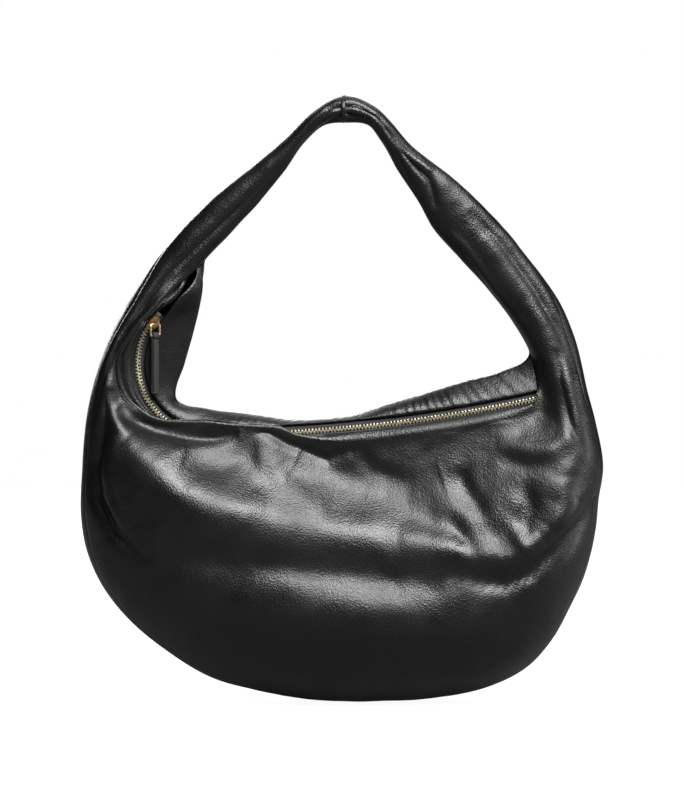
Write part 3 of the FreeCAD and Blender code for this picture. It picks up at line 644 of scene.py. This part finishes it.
    def hem(self, turn: Array, side: Side) -> Array:
        """The turned edge, as a cubic Bezier curve from the lip to the zip's tape.

        It leaves the lip towards the hub, rolls over by as much as the roll, and lands on the
        tape.  In the strap it is tucked in between the two leathers instead.

        Args:
            turn: Turn of each section, in degrees.
            side: The face of the bag.

        Returns:
            Array of turns by hem_steps by 3, in millimetres.
        """
        lip = self.surface(turn, np.ones((len(turn), 1)), side)[:, 0]
        angle = np.radians(turn)
        outward = np.stack([np.cos(angle), np.zeros_like(angle), np.sin(angle)], axis=-1)
        middle, across, out = ZIP.at(turn)
        sewn = smooth(turn, 180.0, 187.0) * smooth(turn, 340.0, 334.0)
        cover = (0.5 + (self.tape_cover - 0.5) * sewn)[:, None]
        tape = middle + across * side.value * cover + out * self.tape_rise
        above = np.sum((tape - lip) * outward, axis=1)
        over = smooth(above, 1.0, 8.0)[:, None]
        landing = tape + (1.0 - over) * across * side.value * 3.0 - over * outward * 6.0
        if side is Side.FRONT:
            # at the corner the edge is hollowed, so that the ring passes over it
            clear = 0.85 * (smooth(turn, 190.0, 198.0) * smooth(turn, 240.0, 226.0))[:, None]
            landing = (1.0 - clear) * landing + clear * (tape + across * side.value * 5.0)
        bend = lip - outward * (self.roll * (0.45 + 0.55 * over))
        open_points = np.stack([lip, bend, landing, tape])
        thin = np.array([0.0, side.value, 0.0])
        tucked = np.stack([lip, lip + outward, lip + outward * 3.0 + thin * 0.5,
                           lip + outward * 5.0 + thin * 0.8])
        mixed = self.openness(turn)[None, :, None]
        a, b, c, d = mixed * open_points + (1.0 - mixed) * tucked
        t = np.linspace(0.0, 1.0, self.hem_steps)[None, :, None]
        a, b, c, d = a[:, None], b[:, None], c[:, None], d[:, None]
        points = (1 - t) ** 3 * a + 3 * (1 - t) ** 2 * t * b + 3 * (1 - t) * t ** 2 * c + t ** 3 * d
        wave = self.ripple(turn[:, None], t[..., 0], side)[..., None]
        return points + out[:, None] * wave

    def ripple(self, turn: Array, share: Array, side: Side) -> Array:
        """Puckers of the turned edge: ridges along it at the corner, gathers across it elsewhere."""
        window = np.sin(np.pi * share) ** 0.5
        if side is Side.FRONT:
            corner = smooth(turn, 186.0, 196.0) * smooth(turn, 232.0, 218.0)
            return window * 0.7 * corner * np.sin(4.4 * np.pi * share)
        gathers = smooth(turn, 290.0, 305.0) * smooth(turn, 338.0, 328.0)
        faint = smooth(turn, 215.0, 235.0) * smooth(turn, 342.0, 330.0)
        slant = turn + 5.0 * share
        uneven = 0.55 + 0.45 * np.sin(turn * 0.47 + 1.0) * np.sin(turn * 0.19 + share * 2.0)
        puckers = uneven * np.sin(slant * 1.13 + 2.2 * np.sin(turn * 0.23))
        puckers = puckers + 0.5 * np.sin(slant * 2.47 + 1.0)
        return window * puckers * (0.22 * gathers + 0.12 * faint)

    def grounded(self, points: Array) -> Array:
        """Rests the belly on the ground: heights under 6 mm are eased to stay above 0."""
        z = points[..., 2]
        low = 6.0
        t = np.clip((z + low) / (2.0 * low), 0.0, 1.0)
        eased = np.where(z < low, low * t * t, z)
        return np.stack([points[..., 0], points[..., 1], eased], axis=-1)

    def band(self) -> Array:
        """The side band between its two seams, in metres."""
        turn = self.places()
        seam = self.seam_step(turn)[:, None]
        even = np.linspace(0.0, 1.0, 9)
        step = seam * even
        front = self.surface(turn, step, Side.FRONT)
        back = self.surface(turn, step, Side.BACK)
        points = np.concatenate([front[:, ::-1], back[:, 1:]], axis=1)
        out = -normals_of(points, ring=True)
        away = points - np.array([HUB_MM[0], 0.0, HUB_MM[1]])
        out = out * np.sign(np.sum(out * away))
        steps = np.linalg.norm(np.diff(points, axis=1), axis=2)
        walked = np.concatenate([np.zeros((len(turn), 1)), np.cumsum(steps, axis=1)], axis=1)
        edge = np.minimum(walked, walked[:, -1:] - walked)
        groove = -self.seam_depth * np.exp(-((edge / self.seam_width) ** 2))
        return self.grounded(points + out * groove[..., None]) * MM

    def core(self) -> Array:
        """The felt that fills the strap: rounds of half its width and depth, in metres."""
        turn = np.linspace(158.0, 22.0, 160)
        outer, inner = OUTER.radius(turn), FRONT_LIP.radius(turn)
        half = 0.5 * (outer - inner) / 2.0
        depth = 0.45 * HALF_DEPTH.at(turn)
        spin = np.radians(np.arange(0.0, 360.0, 20.0))
        radius = ((outer + inner) / 2.0)[:, None] + half[:, None] * np.cos(spin)
        y = depth[:, None] * np.sin(spin)
        angle = np.radians(turn)[:, None]
        x = HUB_MM[0] + radius * np.cos(angle)
        z = HUB_MM[1] + radius * np.sin(angle)
        return np.stack([x, y, z], axis=-1) * MM

    def sleeve(self, low: float, high: float, clear: float) -> Array:
        """A round sleeve on the strap from one turn to another, clear of it, in metres."""
        turn = np.linspace(low, high, 5)
        step = np.tile(np.linspace(0.0, 1.0, 24), (len(turn), 1))
        front = self.surface(turn, step, Side.FRONT)
        back = self.surface(turn, step, Side.BACK)
        loop = np.concatenate([front, back[:, -2:0:-1]], axis=1)
        centre = loop.mean(axis=1, keepdims=True)
        away = loop - centre
        swell = clear + 0.35 * np.array([0.0, 0.8, 1.0, 0.8, 0.0])[:, None, None]
        return (loop + away / np.linalg.norm(away, axis=2, keepdims=True) * swell) * MM


ZIP = ZipLine()


# ---------------------------------------------------------------- finishes


def node(tree: bpy.types.NodeTree, kind: str, **settings: object) -> bpy.types.Node:
    """Adds a shader node and sets its plain properties."""
    made = tree.nodes.new(kind)
    for name, value in settings.items():
        setattr(made, name, value)
    return made


def grain_group() -> bpy.types.NodeTree:
    """Node group for leather: pebbled pores, fine wrinkles, and a mask of handling.

    Returns:
        The group, with Size as input and Height, Wear and Tone as outputs.
    """
    name = "leather_grain"
    if name in bpy.data.node_groups:
        return bpy.data.node_groups[name]
    group = bpy.data.node_groups.new(name, "ShaderNodeTree")
    size = group.interface.new_socket("Size", in_out="INPUT", socket_type="NodeSocketFloat")
    size.default_value = 1.0
    for output in ("Height", "Wear", "Tone"):
        group.interface.new_socket(output, in_out="OUTPUT", socket_type="NodeSocketFloat")
    given = node(group, "NodeGroupInput")
    result = node(group, "NodeGroupOutput")
    place = node(group, "ShaderNodeTexCoord")
    link = group.links.new

    def scaled(factor: float) -> bpy.types.NodeSocket:
        """The group's size times a factor."""
        product = node(group, "ShaderNodeMath", operation="MULTIPLY")
        product.inputs[1].default_value = factor
        link(given.outputs["Size"], product.inputs[0])
        return product.outputs[0]

    pores = node(group, "ShaderNodeTexVoronoi", feature="SMOOTH_F1")
    pores.inputs["Smoothness"].default_value = 0.6
    link(scaled(900.0), pores.inputs["Scale"])
    link(place.outputs["Object"], pores.inputs["Vector"])
    wrinkles = node(group, "ShaderNodeTexNoise")
    wrinkles.inputs["Detail"].default_value = 5.0
    wrinkles.inputs["Distortion"].default_value = 0.6
    link(scaled(140.0), wrinkles.inputs["Scale"])
    link(place.outputs["Object"], wrinkles.inputs["Vector"])
    waves = node(group, "ShaderNodeTexNoise")
    waves.inputs["Detail"].default_value = 2.0
    link(scaled(26.0), waves.inputs["Scale"])
    link(place.outputs["Object"], waves.inputs["Vector"])
    fine = node(group, "ShaderNodeMath", operation="MULTIPLY_ADD")
    fine.inputs[1].default_value = 0.9
    link(pores.outputs["Distance"], fine.inputs[0])
    link(wrinkles.outputs["Fac"], fine.inputs[2])
    height = node(group, "ShaderNodeMath", operation="MULTIPLY_ADD")
    height.inputs[1].default_value = 1.6
    link(waves.outputs["Fac"], height.inputs[0])
    link(fine.outputs[0], height.inputs[2])
    link(height.outputs[0], result.inputs["Height"])
    wear = node(group, "ShaderNodeMapRange")
    wear.inputs["From Min"].default_value = 0.42
    wear.inputs["From Max"].default_value = 0.7
    link(waves.outputs["Fac"], wear.inputs["Value"])
    link(wear.outputs["Result"], result.inputs["Wear"])
    link(wrinkles.outputs["Fac"], result.inputs["Tone"])
    return group


@dataclass(frozen=True)
class Leather:
    """Smooth leather with a soft gloss.

    Attributes:
        name: Name of the material.
        dark: Colour in the hollows.
        light: Colour where it is rubbed.
        smooth_rough: Roughness where it is handled.
        dull_rough: Roughness elsewhere.
        coat: Weight of the finish's clear coat.
        bump: Strength of the grain.
        size: Scale of the grain.
    """

    name: str
    dark: tuple[float, float, float] = (0.0014, 0.0011, 0.0011)
    light: tuple[float, float, float] = (0.0042, 0.0032, 0.0031)
    smooth_rough: float = 0.31
    dull_rough: float = 0.43
    coat: float = 0.05
    bump: float = 0.36
    size: float = 1.0

    def build(self) -> bpy.types.Material:
        """Makes the material, or returns the one already made under its name."""
        if self.name in bpy.data.materials:
            return bpy.data.materials[self.name]
        material = bpy.data.materials.new(self.name)
        material.use_nodes = True
        tree = material.node_tree
        shader = tree.nodes["Principled BSDF"]
        shader.inputs["Coat Weight"].default_value = self.coat
        shader.inputs["Coat Roughness"].default_value = 0.26
        shader.inputs["Specular IOR Level"].default_value = 0.42
        grain = node(tree, "ShaderNodeGroup")
        grain.node_tree = grain_group()
        grain.inputs["Size"].default_value = self.size
        tint = node(tree, "ShaderNodeMix", data_type="RGBA")
        tint.inputs["A"].default_value = (*self.dark, 1.0)
        tint.inputs["B"].default_value = (*self.light, 1.0)
        rough = node(tree, "ShaderNodeMapRange")
        rough.inputs["To Min"].default_value = self.dull_rough
        rough.inputs["To Max"].default_value = self.smooth_rough
        bump = node(tree, "ShaderNodeBump")
        bump.inputs["Strength"].default_value = self.bump
        bump.inputs["Distance"].default_value = 0.6 * MM
        tree.links.new(grain.outputs["Tone"], tint.inputs["Factor"])
        tree.links.new(tint.outputs["Result"], shader.inputs["Base Color"])
        tree.links.new(grain.outputs["Wear"], rough.inputs["Value"])
        tree.links.new(rough.outputs["Result"], shader.inputs["Roughness"])
        tree.links.new(grain.outputs["Height"], bump.inputs["Height"])
        tree.links.new(bump.outputs["Normal"], shader.inputs["Normal"])
        return material


@dataclass(frozen=True)
class Brass:
    """Pale polished brass with faint handling marks."""

    name: str = "pale_brass"
    color: tuple[float, float, float] = (0.78, 0.6, 0.36)
    shade: tuple[float, float, float] = (0.5, 0.36, 0.2)

    def build(self) -> bpy.types.Material:
        """Makes the material, or returns the one already made under its name."""
        if self.name in bpy.data.materials:
            return bpy.data.materials[self.name]
        material = bpy.data.materials.new(self.name)
        material.use_nodes = True
        tree = material.node_tree
        shader = tree.nodes["Principled BSDF"]
        shader.inputs["Metallic"].default_value = 1.0
        place = node(tree, "ShaderNodeTexCoord")
        marks = node(tree, "ShaderNodeTexNoise")
        marks.inputs["Scale"].default_value = 420.0
        marks.inputs["Detail"].default_value = 4.0
        tint = node(tree, "ShaderNodeMix", data_type="RGBA")
        tint.inputs["A"].default_value = (*self.shade, 1.0)
        tint.inputs["B"].default_value = (*self.color, 1.0)
        spread = node(tree, "ShaderNodeMapRange")
        spread.inputs["From Min"].default_value = 0.3
        spread.inputs["From Max"].default_value = 0.5
        rough = node(tree, "ShaderNodeMapRange")
        rough.inputs["To Min"].default_value = 0.26
        rough.inputs["To Max"].default_value = 0.42
        tree.links.new(place.outputs["Object"], marks.inputs["Vector"])
        tree.links.new(marks.outputs["Fac"], spread.inputs["Value"])
        tree.links.new(spread.outputs["Result"], tint.inputs["Factor"])
        tree.links.new(tint.outputs["Result"], shader.inputs["Base Color"])
        tree.links.new(marks.outputs["Fac"], rough.inputs["Value"])
        tree.links.new(rough.outputs["Result"], shader.inputs["Roughness"])
        return material


@dataclass(frozen=True)
class Cloth:
    """Woven cloth: two crossed ripples of thread and a mottled tone."""

    name: str
    color: tuple[float, float, float]
    thread: float = 0.5 * MM

    def build(self) -> bpy.types.Material:
        """Makes the material, or returns the one already made under its name."""
        if self.name in bpy.data.materials:
            return bpy.data.materials[self.name]
        material = bpy.data.materials.new(self.name)
        material.use_nodes = True
        tree = material.node_tree
        shader = tree.nodes["Principled BSDF"]
        shader.inputs["Sheen Weight"].default_value = 0.2
        place = node(tree, "ShaderNodeTexCoord")
        waves = []
        for direction in ("X", "Z"):
            wave = node(tree, "ShaderNodeTexWave", bands_direction=direction)
            wave.inputs["Scale"].default_value = 0.05 / self.thread
            wave.inputs["Distortion"].default_value = 0.3
            tree.links.new(place.outputs["Object"], wave.inputs["Vector"])
            waves.append(wave)
        weave = node(tree, "ShaderNodeMath", operation="MAXIMUM")
        tree.links.new(waves[0].outputs["Fac"], weave.inputs[0])
        tree.links.new(waves[1].outputs["Fac"], weave.inputs[1])
        tint = node(tree, "ShaderNodeMix", data_type="RGBA")
        tint.inputs["A"].default_value = (*[c * 0.6 for c in self.color], 1.0)
        tint.inputs["B"].default_value = (*self.color, 1.0)
        rough = node(tree, "ShaderNodeMapRange")
        rough.inputs["To Min"].default_value = 0.95
        rough.inputs["To Max"].default_value = 0.75
        bump = node(tree, "ShaderNodeBump")
        bump.inputs["Strength"].default_value = 0.5
        bump.inputs["Distance"].default_value = self.thread / 2.0
        tree.links.new(weave.outputs[0], tint.inputs["Factor"])
        tree.links.new(tint.outputs["Result"], shader.inputs["Base Color"])
        tree.links.new(weave.outputs[0], rough.inputs["Value"])
        tree.links.new(rough.outputs["Result"], shader.inputs["Roughness"])
        tree.links.new(weave.outputs[0], bump.inputs["Height"])
        tree.links.new(bump.outputs["Normal"], shader.inputs["Normal"])
        return material


BODY_LEATHER = Leather("body_leather")
PULL_LEATHER = Leather("pull_leather", smooth_rough=0.16, dull_rough=0.24, coat=0.4, bump=0.06, size=1.6)
LINING_CLOTH = Cloth("lining_cloth", (0.06, 0.052, 0.048))
TAPE_CLOTH = Cloth("zip_tape_cloth", (0.014, 0.013, 0.014), 0.35 * MM)
FELT = Cloth("strap_felt", (0.18, 0.17, 0.16), 1.0 * MM)
METAL = Brass()
TEETH_METAL = Brass("aged_brass", (0.9, 0.8, 0.6), (0.62, 0.5, 0.34))
THREAD = Leather("thread", (0.012, 0.011, 0.012), (0.03, 0.027, 0.028), 0.45, 0.55, 0.0, 0.05)


def dress(piece: bpy.types.Object, material: bpy.types.Material) -> None:
    """Puts one material on a whole piece."""
    if piece.data.materials:
        for slot in piece.material_slots:
            slot.material = material
    else:
        piece.data.materials.append(material)


# ---------------------------------------------------------------- sub-assemblies


def follow_strap(piece: bpy.types.Object) -> None:
    """Bakes the piece's world placement into its mesh."""
    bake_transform(piece)


@dataclass(frozen=True)
class Body:
    """The leather that is seen: front, back and side band, all bending into the strap.

    Attributes:
        ring: The surface that the sheets are cut from.
        stitch_place: Column of the turned edge that the stitches run along, counted from its end.
        stitch_pitch: Distance from one stitch to the next.
        stitch_length: Length of one stitch.
        thread: Radius of the thread.
    """

    ring: LeatherRing = LeatherRing()
    stitch_place: int = 4
    stitch_pitch: float = 3.4 * MM
    stitch_length: float = 2.5 * MM
    thread: float = 0.28 * MM

    def stitches(self, name: str, sheet: Array, side: Side) -> bpy.types.Object:
        """A row of stitches that holds a turned edge on its tape."""
        turn = self.ring.places()
        seen = (turn > 187.0) & (turn < 333.0)
        out = normals_of(sheet, ring=True)[seen, -self.stitch_place]
        _, _, up = ZIP.at(turn[seen])
        out = out * np.sign(np.sum(out * up, axis=1))[:, None]
        path = sheet[seen, -self.stitch_place]
        row = stitch_row(name, path, out, self.stitch_pitch, self.stitch_length, self.thread)
        dress(row, THREAD.build())
        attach(row, "bag")
        return row

    def build(self) -> list[bpy.types.Object]:
        """Makes and dresses the three pieces of leather and two rows of stitches.

        Returns:
            The finished pieces.
        """
        front_sheet, back_sheet = self.ring.sheet(Side.FRONT), self.ring.sheet(Side.BACK)
        front = grid_object("front_leather", front_sheet, ring=True)
        back = grid_object("back_leather", back_sheet[:, ::-1], ring=True)
        band = grid_object("side_band", self.ring.band(), ring=True)
        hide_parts("front_panel", "strap_front", "front_lip_turning")
        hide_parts("back_panel", "strap_back", "back_lip_facing")
        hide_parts("gusset")
        for piece in (front, back, band):
            thicken(piece, self.ring.ply)
            dress(piece, BODY_LEATHER.build())
            follow_strap(piece)
        rows = [self.stitches("front_edge_stitches", front_sheet, Side.FRONT),
                self.stitches("back_edge_stitches", back_sheet, Side.BACK)]
        return [front, back, band, *rows]


@dataclass(frozen=True)
class Inside:
    """Lining, pocket, the strap's felt and the band round its crown.

    Attributes:
        ring: The surface that the leather is cut from.
        lining_gap: Distance from the leather's face to the lining.
        lining_ply: Thickness of the cloth.
        front_short: Steps of the leather that the front lining stops short of its lip.
        back_short: The same at the back, where the turned edge lies close to the leather.
        pocket_gap: Distance from the leather's face to the pocket.
        pocket: Half width, lowest and highest height of the pocket, in millimetres.
        binding: Height of the leather binding on the pocket's edge, in millimetres.
    """

    ring: LeatherRing = LeatherRing()
    lining_gap: float = 3.2 * MM
    lining_ply: float = 0.5 * MM
    front_short: int = 4
    back_short: int = 9
    pocket_gap: float = 5.5
    pocket: tuple[float, float, float] = (70.0, 70.0, 150.0)
    binding: float = 8.0

    def lining(self, name: str, side: Side) -> bpy.types.Object:
        """A sheet of cloth that lies against the inside of one leather."""
        sheet = self.ring.sheet(side)
        out = normals_of(sheet, ring=True)
        out = out * np.sign(np.sum(out[..., 1] * side.value))
        turn = self.ring.places()
        rows = np.flatnonzero((turn > 190.0) & (turn < 334.0))[::3]
        short_of_lip = self.front_short if side is Side.FRONT else self.back_short
        columns = np.arange(5, self.ring.steps - short_of_lip, 2)
        inner = (sheet - out * self.lining_gap)[np.ix_(rows, columns)]
        piece = grid_object(name, inner if side is Side.FRONT else inner[:, ::-1])
        thicken(piece, self.lining_ply)
        return piece

    def patch(self, name: str, low: float, high: float, clear: float) -> bpy.types.Object:
        """A rectangle of cloth or leather on the back lining, from one height to another."""
        half = self.pocket[0]
        x, z = np.meshgrid(np.linspace(-half, half, 60), np.linspace(low, high, 40), indexing="ij")
        y = self.ring.seen_at(x, z, Side.BACK) - clear
        piece = grid_object(name, np.stack([x, y, z], axis=-1) * MM)
        thicken(piece, self.lining_ply)
        return piece

    def build(self) -> list[bpy.types.Object]:
        """Makes and dresses the pieces.

        Returns:
            The finished pieces.
        """
        _, low, high = self.pocket
        front = self.lining("front_lining", Side.FRONT)
        back = self.lining("back_lining", Side.BACK)
        pocket = self.patch("inner_pocket", low, high, self.pocket_gap)
        binding = self.patch("pocket_edge", high - self.binding, high + 0.5, self.pocket_gap + 0.8)
        core = grid_object("strap_felt", self.ring.core(), tube=True, caps=True)
        crown = grid_object("strap_band", self.ring.sleeve(90.3, 88.9, 0.5), tube=True)
        thicken(crown, 0.6 * MM, 1.0)
        for piece, node_name, body, finish, slot in (
            (front, "lining_front", "bag", LINING_CLOTH, "lining"),
            (back, "lining_back", "bag", LINING_CLOTH, "lining"),
            (pocket, "slip_pocket", "bag", LINING_CLOTH, "lining"),
            (binding, "pocket_binding", "bag", BODY_LEATHER, "leather"),
            (core, "strap_core", "", FELT, "padding"),
            (crown, "crown_band", "handle", BODY_LEATHER, "leather"),
        ):
            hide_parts(node_name)
            dress(piece, finish.build())
            if body:
                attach(piece, body)
            else:
                follow_strap(piece)
        return [front, back, pocket, binding, core, crown]


@dataclass(frozen=True)
class ZipParts:
    """The zip and its pull: nodes of the frame with their finishes, and a new leather pull.

    Attributes:
        half_width: Half the pull's width, in millimetres.
        ply: Thickness of its leather.
        loop: Radius of the leather's middle round the ring's bar.
        length: Length from the bar to the tip.
    """

    half_width: float = 2.5
    ply: float = 1.45
    loop: float = 1.95
    length: float = 39.6

    def pull_surface(self) -> Array:
        """The pull: a rounded flat section carried down one leg, round the bar and down the other.

        Returns:
            Array of path by section by 3, in metres.
        """
        gap = self.ply / 2.0 + 0.08
        lean = math.degrees(math.asin(gap / self.loop))
        turn = np.radians(np.linspace(lean, 360.0 - lean, 41))
        bend = np.stack([-self.loop * np.sin(turn), -self.loop * np.cos(turn)], axis=-1)
        fall = np.linspace(-self.length, bend[0, 1] - 0.6, 40)
        down = np.stack([np.full_like(fall, -gap), fall], axis=-1)
        path = np.concatenate([down, bend, down[::-1] * np.array([-1.0, 1.0])])
        ahead = np.gradient(path, axis=0)
        ahead /= np.linalg.norm(ahead, axis=1, keepdims=True)
        out = np.stack([-ahead[:, 1], ahead[:, 0]], axis=-1)
        spin = np.radians(np.arange(0.0, 360.0, 15.0))
        wide = np.sign(np.cos(spin)) * np.abs(np.cos(spin)) ** 0.35 * self.half_width
        thick = np.sign(np.sin(spin)) * np.abs(np.sin(spin)) ** 0.6 * self.ply / 2.0
        tip = np.clip((path[:, 1] + self.length) / 3.0, 0.0, 1.0)
        narrow = (0.8 + 0.2 * np.sqrt(np.clip(tip * (2.0 - tip), 0.0, 1.0)))[:, None]
        level = path[:, None, 0] + out[:, None, 0] * thick
        height = path[:, None, 1] + out[:, None, 1] * thick
        joint = next(joint for joint in frame["joints"] if joint["name"] == "pull_swing")
        bar = Vector(joint["axis"]).normalized()
        facing = np.array([bar.y, -bar.x, 0.0])
        place = np.array(joint["pos_m"])
        return (place + facing * level[..., None] * MM
                + np.array(bar) * (wide[None, :] * narrow)[..., None] * MM
                + np.array([0.0, 0.0, 1.0]) * height[..., None] * MM)

    def build(self) -> list[bpy.types.Object]:
        """Dresses the nodes and makes the pull.

        Returns:
            The finished pieces.
        """
        dressed = []
        for name in ("zip_tape_front", "zip_tape_back"):
            dress(frame["nodes"][name], TAPE_CLOTH.build())
            dressed.append(frame["nodes"][name])
        for name in ("zip_teeth_front", "zip_teeth_back", "zip_top_stops", "zip_bottom_stop",
                     "slider_top", "slider_base", "pull_ring"):
            finish = TEETH_METAL if name.startswith("zip") else METAL
            dress(frame["nodes"][name], finish.build())
            dressed.append(frame["nodes"][name])
        pull = grid_object("zip_pull", self.pull_surface(), tube=True, caps=True)
        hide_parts("leather_pull")
        dress(pull, PULL_LEATHER.build())
        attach(pull, "pull")
        return [*dressed, pull]


# ---------------------------------------------------------------- studio

# Soft boxes: name, place and size in metres, power in watts.
SOFT_BOXES = (
    ("key_box", (0.45, -1.15, 1.6), (1.1, 0.9), 84.0),
    ("fill_box", (1.7, -0.8, 0.8), (0.4, 1.2), 5.0),
    ("side_box", (1.5, 0.05, 0.3), (0.5, 0.7), 6.0),
    ("back_box", (0.0, 1.4, 1.9), (2.4, 0.8), 18.0),
    ("rear_box", (-0.5, 1.9, 0.75), (1.2, 0.8), 26.0),
)


@dataclass(frozen=True)
class Studio:
    """A pale floor in a white room, soft lights and the camera.

    Attributes:
        distance: Distance from the camera to the bag.
        elevation: Degrees that the camera stands above level.
        view_height: Height of the frame at the bag.
        middle: Height of the frame's middle.
        glow: Extra light of the floor where it is looked at.
        bounce: Light that the floor gives to everything.
        sky: Light that comes from all round.
        floor_radius: Radius of the floor.
        sensor: Width of the camera's sensor, in millimetres.
    """

    distance: float = 3.2
    elevation: float = 4.0
    view_height: float = 0.560
    middle: float = 0.212
    glow: float = 0.9
    bounce: float = 0.05
    sky: float = 0.03
    floor_radius: float = 1.7
    sensor: float = 36.0

    def floor(self) -> bpy.types.Object:
        """A round pale floor; a point of it is given by its distance and its turn."""
        distance = np.array([0.001, 0.5, 1.0, self.floor_radius])
        turn = np.linspace(0.0, 2.0 * np.pi, 97)[:-1]
        x, y = np.outer(distance, np.cos(turn)), np.outer(distance, np.sin(turn))
        piece = grid_object("floor", np.stack([x, y, np.zeros_like(x)], axis=-1)[::-1], tube=True)
        material = bpy.data.materials.new("pale_paper")
        material.use_nodes = True
        shader = material.node_tree.nodes["Principled BSDF"]
        shader.inputs["Base Color"].default_value = (0.13, 0.13, 0.13, 1.0)
        shader.inputs["Roughness"].default_value = 0.95
        shader.inputs["Specular IOR Level"].default_value = 0.1
        shader.inputs["Emission Color"].default_value = (1.0, 1.0, 1.0, 1.0)
        seen = node(material.node_tree, "ShaderNodeLightPath")
        glow = node(material.node_tree, "ShaderNodeMath", operation="MULTIPLY_ADD")
        glow.inputs[0].default_value = self.glow
        glow.inputs[2].default_value = self.bounce
        material.node_tree.links.new(seen.outputs["Is Camera Ray"], glow.inputs[1])
        material.node_tree.links.new(glow.outputs[0], shader.inputs["Emission Strength"])
        dress(piece, material)
        return piece

    def lamp(self, name: str, place: tuple[float, float, float], size: tuple[float, float],
             power: float) -> None:
        """Adds one soft box that faces the bag's middle."""
        light = bpy.data.lights.new(name, "AREA")
        light.shape = "RECTANGLE"
        light.size, light.size_y = size
        light.energy = power
        made = bpy.data.objects.new(name, light)
        made.location = place
        aim = Vector((0.0, 0.0, self.middle)) - Vector(place)
        made.rotation_euler = aim.to_track_quat("-Z", "Y").to_euler()
        bpy.context.scene.collection.objects.link(made)

    def build(self) -> None:
        """Makes the floor, the lights, the sky and the camera."""
        self.floor()
        for box in SOFT_BOXES:
            self.lamp(*box)
        world = bpy.data.worlds.new("pale_sky")
        world.use_nodes = True
        background = world.node_tree.nodes["Background"]
        background.inputs["Color"].default_value = (1.0, 1.0, 1.0, 1.0)
        seen = node(world.node_tree, "ShaderNodeLightPath")
        strength = node(world.node_tree, "ShaderNodeMapRange")
        strength.inputs["To Min"].default_value = self.sky
        strength.inputs["To Max"].default_value = 1.0
        world.node_tree.links.new(seen.outputs["Is Camera Ray"], strength.inputs["Value"])
        world.node_tree.links.new(strength.outputs["Result"], background.inputs["Strength"])
        bpy.context.scene.world = world
        bpy.context.scene.view_settings.view_transform = "Standard"
        lens = bpy.data.cameras.new("camera")
        lens.sensor_width = self.sensor
        lens.lens = self.sensor * self.distance / self.view_height
        camera = bpy.data.objects.new("camera", lens)
        rise = math.radians(self.elevation)
        height = self.middle + self.distance * math.sin(rise)
        camera.location = (0.0, -self.distance * math.cos(rise), height)
        camera.rotation_euler = (math.pi / 2.0 - rise, 0.0, 0.0)
        bpy.context.scene.collection.objects.link(camera)
        bpy.context.scene.camera = camera


def main() -> None:
    """Builds the bag piece by piece and logs the name of each piece."""
    logging.basicConfig(level=logging.INFO, format="%(name)s: %(message)s")
    Studio().build()
    for maker in (Body(), Inside(), ZipParts()):
        for piece in maker.build():
            log.info("%s: %s", type(maker).__name__, piece.name)


if __name__ == "__main__":
    main()
